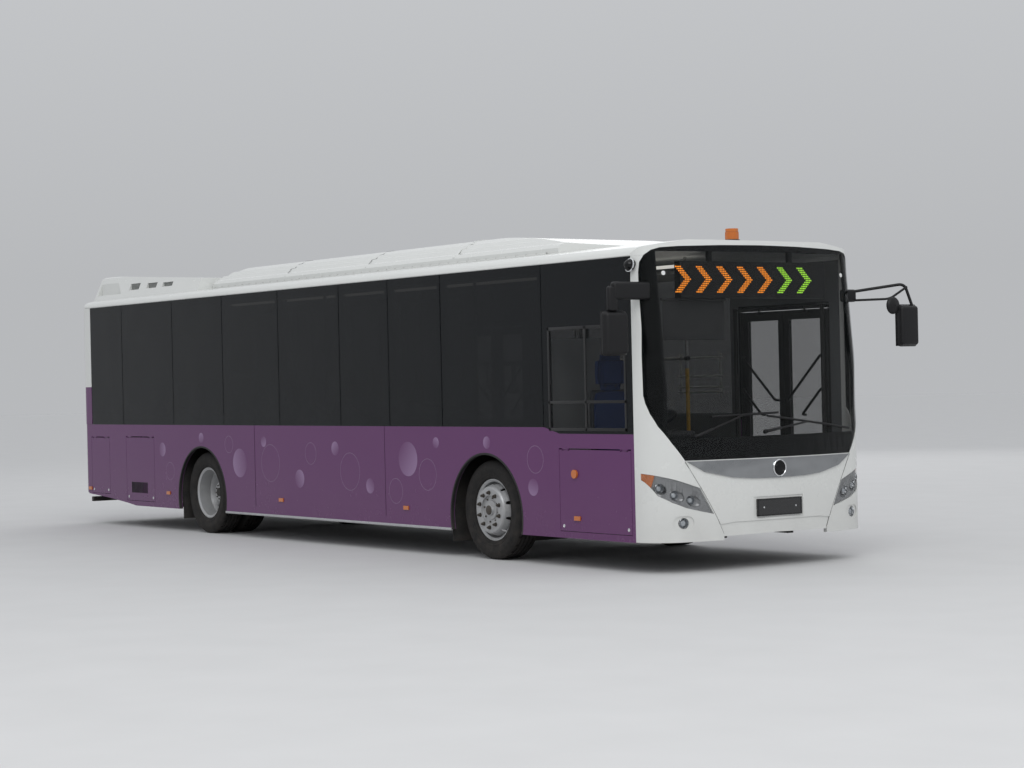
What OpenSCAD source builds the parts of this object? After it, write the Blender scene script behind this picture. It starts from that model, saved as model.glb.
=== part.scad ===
// Airport passenger bus, a low-entry single deck bus on two axles with doors on its left side.
// Row frame in mm: +X is the front, +Y is the bus's left, +Z is up.
// The origin is on the ground, at mid length on the centre line.

/* [Body] */
// Length over the bumpers
bus_length = 12000; // [11800:50:12300]
// Width over the side walls
bus_width = 2550; // [2500:10:2600]
// Height of the roof's crown
roof_height = 2970; // [2900:10:3100]
// Bottom edge of the side walls
sill_height = 270; // [240:5:300]
// Bottom edge of the side glass
waist_height = 1283; // [1200:1:1350]
// Rise of the roof's crown over the side glass
roof_rise = 185; // [160:5:220]
// Thickness of the side walls
wall = 45; // [35:1:60]
// Thickness of the glass
glass_thick = 8; // [5:1:10]
// Lean of the windscreen in degrees
screen_lean = 5.6; // [4:0.1:7]

/* [Wheels] */
// Distance from the front axle to the front end
front_overhang = 2768; // [2700:1:2800]
// Distance between the axles
wheelbase = 5908; // [5800:1:6100]
// Radius of a tyre
tyre_radius = 478; // [460:1:490]
// Width of a tyre
tyre_width = 275; // [255:1:285]
// Radius of the wheel arches
arch_radius = 606; // [590:1:630]
// How far the wheels stand in from the side walls
wheel_inset = 60; // [40:1:80]

/* [Doors] */
// Middle of the front doorway ahead of the front axle
front_door_ahead = 1520; // [1480:5:1560]
// Middle of the middle doorway behind mid length
middle_door_behind = 105; // [0:5:200]
// Half the width of a doorway
doorway_half = 650; // [649:1:665]
// Height of the band of glass over the doorways
doorway_drop = 385; // [350:5:420]

/* [Floor] */
// Top of the low floor
floor_top = 380; // [360:5:400]
// Top of the rear floor
rear_floor_top = 800; // [760:10:850]

/* [Hidden] */
$fn = 64;
L2 = bus_length / 2;
W2 = bus_width / 2;
front_x = L2 - front_overhang;
rear_x = front_x - wheelbase;
middle_door_x = -middle_door_behind;
cant_height = roof_height - roof_rise;
doorway_top = cant_height - doorway_drop;
arch_z = 416;
side_x0 = -L2 + 140;      // rear end of the side walls
side_x1 = L2 - 460;       // front end of the side walls
nose_r = 4200;            // plan radius of the front
corner_r = 350;           // plan radius of the front corners
screen_r = 5200;          // plan radius of the windscreen
screen_corner_r = 220;    // plan radius of its corners
rear_corner_r = 140;      // plan radius of the rear corners
crown_r = 7400;           // section radius of the roof
lean_z = 1100;            // the front leans back above this height
brow_x = L2 - 1150;       // from here the roof's middle falls towards the front
brow_slope = 2.6;         // its fall in degrees
tyre_out = W2 - wheel_inset;                // outer face of the tyres
wheel_y = tyre_out - tyre_width / 2;        // middle of a single or outer tyre
twin_y = wheel_y - 312;                     // middle of the inner twin
king_y = 900;                               // king pins
screen_top = roof_height - 86;
fog_y = 1005;             // fog lamps, and how deep their hollows are
fog_z = 440;
fog_depth = 8;
plate_depth = 6;          // depth of the plate's recess and of the lip under the bumper's crease
lip_depth = 7;
mask_bottom = 985;
front_door_x = front_x + front_door_ahead;
arm = 300;                // door arms, from the post to the leaf's pivot
arm_deg = 10;             // they point outwards by this much when shut
leaf_back = 250;          // from a leaf's pivot to its edge by the post
leaf_lead = 320;          // from a leaf's pivot to its leading edge
leaf_out = 60;            // from a leaf's pivot to its outer face
leaf_z0 = floor_top + 62;
leaf_z1 = doorway_top - 60;
post_v = W2 - leaf_out - arm * sin(arm_deg);   // y of the door posts
post_u = arm * cos(arm_deg) + leaf_lead + 4.5; // from the doorway's middle to a post
pivot_u = post_u - arm * cos(arm_deg);         // from the doorway's middle to a leaf's pivot
pivot_v = post_v + arm * sin(arm_deg);

// joints of the side glass from the rear, as distances ahead of mid length
glass_x0 = -L2 + 141;
glass_x2 = rear_x - 697;
front_join = front_x - 720;
door_joins = [middle_door_x - doorway_half - 11, middle_door_x + doorway_half + 11];
joints_x = [glass_x0, glass_x0 + 0.4347 * (glass_x2 - glass_x0), glass_x2, rear_x + 589, door_joins[0],
  door_joins[1], (door_joins[1] + front_join) / 2, front_join];
right_ends = concat(joints_x, [L2 - 1794]);
left_ends = concat(joints_x, [front_door_x - doorway_half - 56]);
// a pane reaches from one joint to the next, with half a gap at each end
half_gap = 6;
right_panes = [for (k = [0:7]) [right_ends[k] + half_gap, right_ends[k + 1] - half_gap]];
left_panes = [for (k = [0, 1, 2, 3, 5, 6, 7]) [left_ends[k] + half_gap, left_ends[k + 1] - half_gap]];
// the stretch of wall between the tail and the rear arch, which two flaps share
tail_x1 = rear_x - arch_radius;
tail = tail_x1 - side_x0;
// flaps on the right side: rear edge, front edge, bottom, top
locker = [L2 - 1567, L2 - 504, sill_height + 60, waist_height - 193];
flap_a = [side_x0 + 0.0415 * tail, side_x0 + 0.2525 * tail, sill_height + 125, waist_height - 158];
flap_b = [side_x0 + 0.4422 * tail, side_x0 + 0.7502 * tail, sill_height + 60, waist_height - 148];
lid = [-850, 850, 560, waist_height + 197];   // engine lid: y from, y to, z from, z to
step_x = rear_x + 886;       // foot of the step up to the rear floor
cab_x = L2 - 1835;           // rear edge of the driver's platform
shroud_x0 = rear_x - 274;    // rear and front ends of the roof's shroud
shroud_x1 = front_x + 1088;
dome_x = front_x - 1032;     // from here the shroud's front falls
pod_x0 = -L2 + 75;           // rear and front ends of the pod over the tail
pod_x1 = shroud_x0 - 20;

// plan outline with a front of radius R and corners of radius r, inset by t
module plan(R, r, t, back) {
  cx = L2 - R; yc = W2 - r; d = R - r;
  xc = cx + sqrt(d * d - yc * yc);
  a = asin(yc / d);
  rr = rear_corner_r;
  intersection() {
    translate([cx, 0]) circle(R - t, $fn = 360);
    polygon([[cx, 0], [cx + 2 * R * cos(a), 2 * R * sin(a)], [cx + 2 * R * cos(a), -2 * R * sin(a)]]);
  }
  for (s = [-1, 1]) translate([xc, s * yc]) circle(r - t, $fn = 96);
  translate([-back + rr, -W2 + t]) square([xc + back - rr, 2 * (W2 - t)]);
  translate([-back + t, -W2 + rr]) square([rr + 10, 2 * (W2 - rr)]);
  for (s = [-1, 1]) translate([-back + rr, s * (W2 - rr)]) circle(rr - t, $fn = 64);
}

// section across the bus, inset by t
module section(t, low) {
  zc = roof_height - crown_r;
  dz = cant_height - zc;
  r = (crown_r * crown_r - W2 * W2 - dz * dz) / (2 * crown_r - 2 * W2);
  yc = W2 - r;
  a = atan2(yc, dz);
  intersection() {
    translate([0, zc]) circle(crown_r - t, $fn = 720);
    polygon([[0, zc], [2 * crown_r * sin(a), zc + 2 * crown_r * cos(a)],
      [-2 * crown_r * sin(a), zc + 2 * crown_r * cos(a)]]);
    translate([-2000, cant_height - 400]) square([4000, 1500]);
  }
  for (s = [-1, 1]) translate([s * yc, cant_height]) circle(r - t, $fn = 96);
  translate([-W2 + t, low]) square([2 * (W2 - t), cant_height - low]);
}

// side view, inset by t: the rear's upper corner is round and the roof falls towards the front
module profile(t, low) {
  r = 400;
  translate([-L2 + t, low]) square([bus_length + 500, roof_height - r - low]);
  polygon([[-L2 + r, roof_height - r - 10], [L2 + 100, roof_height - r - 10],
    [L2 + 100, roof_height - t - (L2 + 100 - brow_x) * tan(brow_slope)], [brow_x, roof_height - t],
    [-L2 + r, roof_height - t]]);
  translate([-L2 + r, roof_height - r]) circle(r - t, $fn = 128);
}
// a plan outline swept along a line that leans back, through the nose at height z
module leaning(R, r, t, lean, z) {
  translate([L2 - (z - lean_z) * tan(screen_lean), 0, z]) rotate([0, -lean, 0]) translate([-L2, 0, -3000])
    linear_extrude(16000) plan(R, r, t, 3 * L2);
}

// the body's outer shape, inset by t
module envelope(t, low = 0) {
  intersection() {
    linear_extrude(4000) plan(nose_r, corner_r, t, L2);
    leaning(screen_r, screen_corner_r, t, screen_lean, lean_z);
    translate([-2 * L2, 0, 0]) rotate([90, 0, 90]) linear_extrude(4 * L2) section(t, low);
    translate([0, 2000, 0]) rotate([90, 0, 0]) linear_extrude(4000) profile(t, low);
  }
}
module shell(t0, t1) { difference() { envelope(t0, -50); envelope(t1, -60); } }
// a block given by its limits
module block(x0, x1, y0, y1, z0, z1) { translate([x0, y0, z0]) cube([x1 - x0, y1 - y0, z1 - z0]); }
// a rod along Y, and one along X
module rod_y(x, z, y0, y1, r) { translate([x, y0, z]) rotate([-90, 0, 0]) cylinder(h = y1 - y0, r = r); }
module rod_x(y, z, x0, x1, r) { translate([x0, y, z]) rotate([0, 90, 0]) cylinder(h = x1 - x0, r = r); }
// a tube between two points
module tube(a, b, r) {
  d = b - a; n = norm(d);
  translate(a) rotate([0, acos(d[2] / n), atan2(d[1], d[0])]) cylinder(h = n, r = r);
}

// one side wall at +Y: plain below, set back behind the glass
module side_wall(panes, doors, flaps) {
  difference() {
    union() {
      block(side_x0, side_x1, W2 - wall, W2, sill_height, waist_height);
      block(side_x0, side_x1, W2 - wall, W2 - glass_thick, waist_height - 60, cant_height);
    }
    // wheel arches
    for (x = [front_x, rear_x]) rod_y(x, arch_z, W2 - wall - 10, W2 + 10, arch_radius);
    for (x = [front_x, rear_x]) block(x - 590, x + 590, W2 - wall - 10, W2 + 10, 0, arch_z - 140);
    // the rear overhang rises
    translate([0, W2 + 10, 0]) rotate([90, 0, 0]) linear_extrude(wall + 20)
      polygon([[-L2 + 1540, 200], [-L2 + 1540, sill_height], [-L2 + 1280, sill_height + 30],
        [-L2 + 740, sill_height + 78], [-L2 - 100, sill_height + 130], [-L2 - 100, 200]]);
    // windows, cut through behind the panes
    for (p = panes) block(p[0] + 60, p[1] - 60, W2 - wall - 10, W2 + 10, waist_height + 60, cant_height - 75);
    for (d = doors) doorway(d);
    for (f = flaps) block(f[0], f[1], W2 - wall - 10, W2 + 10, f[2], f[3]);
  }
}
// the space that a doorway takes in the wall: a lip hides the arms above and below the leaves
module doorway(x) {
  block(x - doorway_half, x + doorway_half, W2 - wall - 10, W2 + 10, leaf_z0 - 6, leaf_z1 + 6);
  block(x - doorway_half, x + doorway_half, W2 - wall - 10, W2 - 16, floor_top + 8, doorway_top);
}
// hinge pins and lugs on a wall above a flap that opens about its top edge
module hinge_pins(f) {
  for (x = [f[0] + 60, f[1] - 140]) {
    rod_x(W2 - 2, f[3] - 6, x, x + 80, 3);
    for (k = [x - 12, x + 80]) hull_lug(k);
  }
  module hull_lug(k) { block(k, k + 12, W2 - 8, W2 + 3, f[3] - 11, f[3]); }
}

module right_side() {
  color([0.36, 0.23, 0.40]) mirror([0, 1, 0]) {
    difference() {
      side_wall(right_panes, [], [flap_a, flap_b, locker]);
      // the driver's window comes lower than the others
      block(L2 - 1706, L2 - 548, W2 - wall - 10, W2 + 10, waist_height - 34, cant_height - 75);
      translate([0, W2 + 1, 0]) rotate([90, 0, 0]) linear_extrude(glass_thick + 1)
        polygon([[L2 - 1791, waist_height - 1], [L2 - 1791, waist_height + 5],
          [side_x1 + 10, waist_height + 5], [side_x1 + 10, waist_height - 60],
          [L2 - 1551, waist_height - 60]]);
    }
    for (f = [flap_a, flap_b, locker]) hinge_pins(f);
  }
}
module left_side() {
  color([0.36, 0.23, 0.40]) {
    side_wall(left_panes, [front_door_x, middle_door_x], []);
    for (x = [front_door_x, middle_door_x]) for (s = [-1, 1]) {
      // bearings for the door posts
      for (z = [floor_top, doorway_top - 20]) difference() {
        block(min(x + s * (post_u - 30), x + s * (doorway_half + 20)),
          max(x + s * (post_u - 30), x + s * (doorway_half + 20)), post_v - 30, W2 - wall + 1, z, z + 6);
        translate([x + s * post_u, post_v, z - 1]) cylinder(h = 8, r = 12.05);
      }
    }
  }
}
module roof() {
  color([0.86, 0.86, 0.84]) difference() {
    intersection() {
      shell(0, wall);
      block(-L2 - 10, L2 + 10, -W2 - 10, W2 + 10, cant_height + 1, roof_height + 10);
    }
    front_view(mask_pts, side_x1 + 61, L2 + 100);
  }
}
module rear_end() {
  color([0.36, 0.23, 0.40]) {
    difference() {
      intersection() {
        shell(0, wall);
        block(-L2 - 10, side_x0, -W2 - 10, W2 + 10, 400, cant_height);
      }
      // engine bay and rear window
      block(-L2 - 10, -L2 + wall + 10, lid[0], lid[1], lid[2], lid[3]);
      block(-L2 - 10, -L2 + wall + 10, -900, 900, waist_height + 357, cant_height - 345);
      // lamps
      for (s = [-1, 1]) tail_lamp(s, -10);
      block(-L2 - 10, -L2 + glass_thick, -960, 960, waist_height + 297, cant_height - 285);
    }
    for (y = [lid[0] + 80, lid[1] - 160]) {
      translate([-L2 + 2, y, lid[3] - 6]) rotate([-90, 0, 0]) cylinder(h = 80, r = 3);
      for (k = [y - 12, y + 80]) block(-L2 - 3, -L2 + 8, k, k + 12, lid[3] - 11, lid[3]);
    }
    // bumper bar across the tail
    block(-L2 + 2, -L2 + 60, -1000, 1000, 400, 430);
  }
}
// outline of the black front in side-to-side view, half of it: y, z
mask_pts = [[0, mask_bottom], [984, mask_bottom], [1095, 1138], [1188, waist_height + 6],
  [1228, waist_height + 117], [1247, waist_height + 207], [1254, waist_height + 277],
  [1256, waist_height + 617], [1252, cant_height - 285], [1249, cant_height - 145],
  [1240, cant_height - 55], [1212, cant_height + 7],
  [1160, cant_height + 49], [1080, cant_height + 71], [900, cant_height + 83], [450, screen_top - 4],
  [0, screen_top]];
// the seam between the middle and the corners of the front: y, z
seam_pts = [[984, mask_bottom], [835, 742], [750, 600], [680, 474], [612, 325]];
module front_view(pts, x0, x1) {
  for (s = [0, 1]) mirror([0, s, 0]) translate([x0, 0, 0]) rotate([90, 0, 90]) linear_extrude(x1 - x0)
    polygon(pts);
}
module front_skin() {
  difference() {
    intersection() {
      shell(0, wall);
      block(side_x1, L2 + 10, -W2 - 10, W2 + 10, 275, cant_height);
    }
    front_view(mask_pts, side_x1 + 61, L2 + 100);
  }
}
// what is pressed into the front's skin to a depth t, within a solid
module pressed(t) { difference() { children(); envelope(t, -50); } }
module front_panel() {
  color([0.86, 0.86, 0.84]) difference() {
    intersection() {
      front_skin();
      front_view(concat([[0, mask_bottom + 10], [984, mask_bottom + 10]], seam_pts, [[612, 310], [0, 318]]),
        L2 - 300, L2 + 100);
    }
    // the lip under the crease, and the plate's recess
    pressed(lip_depth)
      front_view([[0, 270], [0, 432], [500, 432], [650, 416], [700, 270]], L2 - 200, L2 + 50);
    pressed(plate_depth) block(L2 - 100, L2 + 50, -292, 292, 452, 640);
  }
}
module front_corners() {
  color([0.86, 0.86, 0.84]) difference() {
    intersection() {
      front_skin();
      front_view(concat([[900, 3000], [900, mask_bottom + 20], [988, mask_bottom + 20]],
        [for (p = seam_pts) [p[0] + 4, p[1]]], [[616, 200], [1300, 200], [1300, 3000]]),
        side_x1 - 5, L2 + 100);
    }
    // seats for the lamps
    for (s = [-1, 1]) lamp_seat(s);
    for (s = [-1, 1]) fog_seat(s);
    for (s = [-1, 1]) pressed(fog_depth) fog_dish(s);
  }
}
// the hollow round a fog lamp, longer than high
module fog_dish(s) {
  for (k = [-33, 33]) translate([L2 - 300, s * fog_y + k, fog_z]) rotate([0, 90, 0])
    cylinder(h = 320, r = 62);
  block(L2 - 300, L2 + 20, s * fog_y - 33, s * fog_y + 33, fog_z - 62, fog_z + 62);
}
module fog_seat(s) { translate([L2 - 260, s * fog_y, fog_z]) rotate([0, 90, 0]) cylinder(h = 300, r = 48); }
// the headlamp's outline in front view
lamp_pts = [[1290, 887], [1060, 818], [845, 743], [786, 640], [714, 511], [840, 538], [984, 574], [1100, 622],
  [1196, 683], [1262, 815], [1290, 868]];
module lamp_seat(s) {
  mirror([0, s < 0 ? 1 : 0, 0]) translate([L2 - 388, 0, 0]) rotate([90, 0, 90]) linear_extrude(420)
    polygon(lamp_pts);
}
module front_mask() {
  color([0.03, 0.03, 0.035]) difference() {
    intersection() {
      shell(glass_thick, wall - 5);
      front_view(mask_pts, side_x1 + 61, L2 + 100);
    }
    block(side_x1, L2 + 100, -1120, 1120, 1180, screen_top - 60);
  }
}
module windscreen() {
  color([0.10, 0.12, 0.12, 0.4]) intersection() {
    shell(0, glass_thick);
    front_view(mask_pts, side_x1 + 61, L2 + 100);
  }
}
module right_windows() {
  color([0.05, 0.06, 0.06, 0.6]) mirror([0, 1, 0]) {
    for (p = right_panes) block(p[0], p[1], W2 - glass_thick, W2, waist_height, cant_height);
    // the driver's pane comes lower towards the front
    translate([0, W2, 0]) rotate([90, 0, 0]) linear_extrude(glass_thick)
      polygon([[L2 - 1791, waist_height], [L2 - 1791, cant_height], [side_x1, cant_height],
        [side_x1, waist_height - 60], [L2 - 1551, waist_height - 60]]);
  }
}
module left_windows() {
  color([0.05, 0.06, 0.06, 0.6]) for (p = left_panes)
    block(p[0], p[1], W2 - glass_thick, W2, waist_height, cant_height);
}
module rear_window() {
  color([0.05, 0.06, 0.06, 0.6])
    block(-L2, -L2 + glass_thick, -958, 958, waist_height + 299, cant_height - 287);
}
// height of the ceiling at a distance y from the centre line
function ceiling(y) = roof_height - crown_r + sqrt(pow(crown_r - wall, 2) - y * y);
// height of the roof at a distance y from the centre line
function crown(y) = roof_height - crown_r + sqrt(crown_r * crown_r - y * y);
module air_conditioner() {
  // long ribbed shroud with a domed front, resting on the crown; half its section: y, height over the crown
  half = 930;
  ribs = [[0, 185], [560, 182], [655, 170], [700, 138], [752, 130], [782, 92], [832, 84], [862, 42],
    [905, 26], [half, -10]];
  rib = concat([for (p = ribs) [p[0], roof_height + p[1]]], [for (y = [half:-62:0]) [y, crown(y) + 0.3]]);
  // side view: distance from an end, height over the crown
  rear = [[0, -170], [0, -10], [50, 50], [160, 115], [330, 160], [520, 186]];
  dome_r = 12000;
  fall = shroud_x1 - dome_x + 130;
  bow_r = 1620;
  color([0.85, 0.85, 0.83]) intersection() {
    for (s = [0, 1]) mirror([0, s, 0]) translate([shroud_x0 - 10, 0, 0]) rotate([90, 0, 90])
      linear_extrude(shroud_x1 - shroud_x0 + 200) polygon(rib);
    translate([0, 1000, 0]) rotate([90, 0, 0]) linear_extrude(2000) polygon(concat(
      [for (p = rear) [shroud_x0 + p[0], roof_height + p[1]]],
      [for (d = [0:fall / 15:fall]) [dome_x + d, roof_height + 186 + sqrt(dome_r * dome_r - d * d) - dome_r]],
      [[dome_x + fall, roof_height - 170]]));
    // the front bows in plan
    linear_extrude(4000) union() {
      intersection() {
        translate([shroud_x1 - bow_r, 0]) circle(bow_r, $fn = 256);
        translate([shroud_x1 - 420, -1000]) square([500, 2000]);
      }
      translate([shroud_x0 - 50, -1000]) square([shroud_x1 - shroud_x0 - 360, 2000]);
    }
  }
}
module roof_pod() {
  // wedge over the tail: leaning sides, three vents and a sunk panel on each
  long = pod_x1 - pod_x0;
  vent_z = roof_height + 15;
  top = roof_height + 215;
  slope = [[W2 - 115, roof_height - 170], [1005, roof_height + 202], [960, roof_height + 222]];
  color([0.85, 0.85, 0.83]) difference() {
    intersection() {
      translate([0, 1200, 0]) rotate([90, 0, 0]) linear_extrude(2400)
        polygon([[pod_x0, roof_height - 270], [pod_x0 + 35, top - 10], [pod_x0 + 65, top + 11],
          [pod_x0 + 525, top], [pod_x1 - 15, top - 140], [pod_x1, roof_height - 170]]);
      translate([pod_x0 - 75, 0, 0]) rotate([90, 0, 90]) linear_extrude(long + 150)
        polygon(concat(slope, [[0, roof_height + 235]], [for (k = [2:-1:0]) [-slope[k][0], slope[k][1]]]));
    }
    envelope(0);
    for (s = [0, 1]) mirror([0, s, 0]) {
      for (k = [0.384, 0.55, 0.699])
        block(pod_x0 + k * long - 150, pod_x0 + k * long + 130, 1020, 1200, vent_z, vent_z + 114 - 88 * k);
      translate([0, 1200, 0]) rotate([90, 0, 0]) linear_extrude(165)
        polygon([[pod_x0 + 75, roof_height - 20], [pod_x0 + 775, roof_height - 20],
          [pod_x0 + 515, roof_height + 180], [pod_x0 + 85, roof_height + 180]]);
    }
  }
}
module headlamps() {
  color([0.75, 0.77, 0.78]) intersection() {
    shell(3, wall);
    union() for (s = [-1, 1]) { lamp_seat(s); fog_seat(s); }
  }
}
// a lamp cluster of the tail, or its seat, from a depth behind the rear face
module tail_lamp(s, depth) {
  block(-L2 + depth, -L2 + 20, s * (W2 - 195) - 60, s * (W2 - 195) + 60, waist_height - 523,
    waist_height - 43);
}
module tail_lamps() {
  color([0.6, 0.05, 0.05]) for (s = [-1, 1]) tail_lamp(s, 2);
}
module side_marker(x, s) {
  block(x - 45, x + 45, min(s * W2, s * (W2 + 12)), max(s * W2, s * (W2 + 12)), sill_height + 165,
    sill_height + 205);
}
module repeater(x, s) { rod_y(x, sill_height + 587, s > 0 ? W2 : -W2 - 18, s > 0 ? W2 + 18 : -W2, 40); }
module markers() {
  color([0.9, 0.45, 0.05]) {
    for (x = [-L2 + 200, rear_x - 874, middle_door_x - 660, front_x - 1417]) side_marker(x, -1);
    for (x = [-L2 + 200, rear_x - 874, middle_door_x - 1395, front_x - 1417, front_x + 718])
      side_marker(x, 1);
    repeater(L2 - 529, 1);
    difference() {
      translate([L2 - 560, 0, roof_height - 60]) cylinder(h = 150, r = 60);
      envelope(-0.3);
    }
  }
}
// the two lamps that sit on the locker's flap
module flap_lamps() {
  color([0.9, 0.45, 0.05]) {
    side_marker(L2 - 1300, -1);
    repeater(L2 - 1327, -1);
  }
}
module chrome_strip() {
  color([0.8, 0.8, 0.82]) intersection() {
    difference() { envelope(-12, -50); envelope(0, -60); }
    front_view([[0, 802], [300, 807], [520, 824], [800, 883], [972, 978], [0, 978]], L2 - 300, L2 + 100);
  }
}
module number_plates() {
  color([0.05, 0.05, 0.05]) {
    difference() { block(L2 - 18, L2 + 8, -262, 262, 466, 620); envelope(plate_depth - 0.3, -50); }
    block(-L2 - 8, -L2, -265, 265, 440, 550);
  }
}
module mirrors() {
  arm_z = cant_height - 400;
  color([0.04, 0.04, 0.04]) {
    // right: bracket, arm and head
    difference() {
      block(L2 - 360, L2 - 280, -W2 - 325, -1150, arm_z, arm_z + 180);
      envelope(0);
    }
    tube([L2 - 320, -W2 - 300, arm_z + 15], [L2 - 320, -W2 - 300, arm_z - 95], 14);
    block(L2 - 360, L2 - 275, -W2 - 425, -W2 - 155, arm_z - 473, arm_z - 85);
    // left: looped arm and head
    difference() {
      block(L2 - 400, L2 - 320, 1150, W2 + 50, arm_z, arm_z + 120);
      envelope(0);
    }
    for (q = [[[L2 - 360, W2 + 30, arm_z + 95], [L2 - 40, W2 + 415, arm_z + 160], 14],
        [[L2 - 40, W2 + 415, arm_z + 160], [L2 - 15, W2 + 465, arm_z - 45], 14],
        [[L2 - 360, W2 + 30, arm_z + 15], [L2 - 60, W2 + 225, arm_z + 20], 12],
        [[L2 - 60, W2 + 225, arm_z + 20], [L2 - 40, W2 + 405, arm_z + 115], 12]]) {
      tube(q[0], q[1], q[2]);
      for (k = [0, 1]) translate(q[k]) sphere(r = q[2] + 1);
    }
    block(L2 - 55, L2 + 30, W2 + 275, W2 + 525, arm_z - 430, arm_z - 35);
  }
}
module wipers() {
  color([0.04, 0.04, 0.04]) {
    // pivot, elbow and tip of each: x, y, z
    for (w = [[[L2 - 75, -880, 1195], [L2 - 10, -380, 1370], [L2, 20, 1380]],
        [[L2 + 22, -140, 1215], [L2 - 10, 380, 1290], [L2 - 75, 960, 1215]]]) {
      tube(w[0], w[1], 9);
      tube(w[1], w[2], 7);
      for (k = [0, 1, 2]) translate(w[k]) sphere(r = 10);
      difference() {
        translate([w[0][0] - 60, w[0][1], w[0][2]]) rotate([0, 90, 0]) cylinder(h = 66, r = 16);
        envelope(0);
      }
    }
  }
}
module destination_sign() {
  // the hangers end under the roof, which falls towards the front
  top = min(ceiling(500), roof_height - wall - (L2 - 310 - brow_x) * tan(brow_slope)) - 0.3;
  color([0.05, 0.05, 0.05]) {
    block(L2 - 350, L2 - 270, -865, 865, cant_height - 370, cant_height - 45);
    for (y = [-500, 460]) block(L2 - 350, L2 - 310, y, y + 40, cant_height - 85, top);
  }
}
module seat_at(x, y, z, dir) {
  translate([x, y, z]) {
    block(-210, 210, -215, 215, 400, 460);
    translate([-dir * 215, 0, 0]) block(-30, 30, -215, 215, 400, 980);
    block(-60, 60, -60, 60, 0, 410);
  }
}
module seats() {
  color([0.15, 0.2, 0.45]) {
    for (s = [-1, 1]) for (x = [rear_x - 924:-750:-L2 + 700]) for (k = [0, 1])
      seat_at(x, s * (950 - k * 460), rear_floor_top, 1);
    for (x = [middle_door_x - 1145, middle_door_x + 1105, middle_door_x + 1855]) for (k = [0, 1])
      seat_at(x, -(950 - k * 460), floor_top, 1);
    seat_at(L2 - 1250, -750, floor_top + 250, 1);
  }
}
module dashboard() {
  color([0.06, 0.06, 0.065]) {
    block(L2 - 550, L2 - 220, -1040, 1000, 900, 1150);
    block(L2 - 700, L2 - 440, -1050, -350, 700, 1160);
    // steering column and wheel
    tube([L2 - 600, -750, 740], [L2 - 850, -750, 1330], 35);
    translate([L2 - 850, -750, 1330]) rotate([0, -23, 0]) {
      rotate_extrude() translate([225, 0]) circle(16);
      for (a = [0, 120, 240]) rotate([0, 0, a + 30]) translate([0, -18, -6]) cube([225, 36, 12]);
    }
  }
}
module handrails() {
  color([0.8, 0.7, 0.1]) {
    for (s = [-1, 1]) {
      rod_x(s * 640, floor_top + 1520, rear_x - 624, s > 0 ? middle_door_x - 695 : front_x + 768, 16);
      for (x = [rear_x - 624, step_x + 90, middle_door_x - 695, middle_door_x + 755, front_x - 1032,
          front_x + 768]) {
        z = x < step_x + 40 ? rear_floor_top : floor_top;
        translate([x, s * 640, z]) cylinder(h = ceiling(656) - 0.3 - z, r = 17);
      }
    }
    rod_x(640, floor_top + 1520, middle_door_x + 755, front_x + 768, 16);
  }
}
module cab_partition() {
  color([0.3, 0.32, 0.33]) {
    block(cab_x - 35, cab_x - 5, -W2 + wall, -350, floor_top, cant_height - 685);
    block(cab_x - 5, L2 - 700, -370, -345, floor_top, floor_top + 770);
  }
}
module chassis() {
  color([0.05, 0.05, 0.05]) {
    rear_end_x = -L2 + 150;
    behind = rear_x - 824;   // cross members behind and before the rear axle, and round the front one
    ahead = rear_x + 826;
    middle = (front_x - 732 - ahead) / 4;
    for (s = [-1, 1]) block(-L2 + 100, L2 - 300, s * 400 - 35, s * 400 + 35, floor_top - 110, floor_top - 40);
    for (x = concat([rear_end_x, (rear_end_x + behind) / 2, behind], [for (k = [0:4]) ahead + k * middle],
        [front_x + 718, front_x + 1568, L2 - 600]))
      block(x - 30, x + 30, -W2 + wall, W2 - wall, floor_top - 100, floor_top - 40);
  }
}
// a wheel box on one side: low is the bottom of its inner wall
module wheel_box(x, y0, y1, h, len, low) {
  difference() {
    block(x - len, x + len, y0, y1, floor_top - 40, h);
    block(x - len + 15, x + len - 15, y0 + 15, y1 + 10, 0, h - 15);
    block(x - len + 15, x + len - 15, y0 - 10, y1 + 10, 0, low);
  }
}
module wheel_boxes() {
  color([0.25, 0.26, 0.28]) for (s = [0, 1]) mirror([0, s, 0]) {
    wheel_box(front_x, 560, W2 - wall, 1060, 665, 0);
    wheel_box(rear_x, 570, W2 - wall, 1060, 600, rear_floor_top - 35);
  }
}
// a floor plate with its cut-outs for wheel boxes of half length len
module floor_plate(x0, x1, top, x, len, inner) {
  difference() {
    block(x0, x1, -W2 + wall, W2 - wall, top - 40, top);
    for (s = [0, 1]) mirror([0, s, 0]) block(x - len, x + len, inner, W2 + 10, 0, top + 10);
  }
}
module floor() {
  color([0.25, 0.26, 0.28]) {
    floor_plate(step_x, side_x1, floor_top, front_x, 665.3, 559.7);
    block(step_x + 40.3, step_x + 310, -500, 500, floor_top - 5, (floor_top + rear_floor_top) / 2);
    // the cab's platform
    block(cab_x, L2 - 560, -W2 + wall, -375, floor_top - 5, floor_top + 250);
  }
}
module rear_floor() {
  color([0.25, 0.26, 0.28]) {
    floor_plate(-L2 + 150, step_x + 40, rear_floor_top, rear_x, 600.3, 569.7);
    // riser of the step
    block(step_x, step_x + 40, -W2 + wall, W2 - wall, floor_top + 0.3, rear_floor_top);
  }
}
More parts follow.
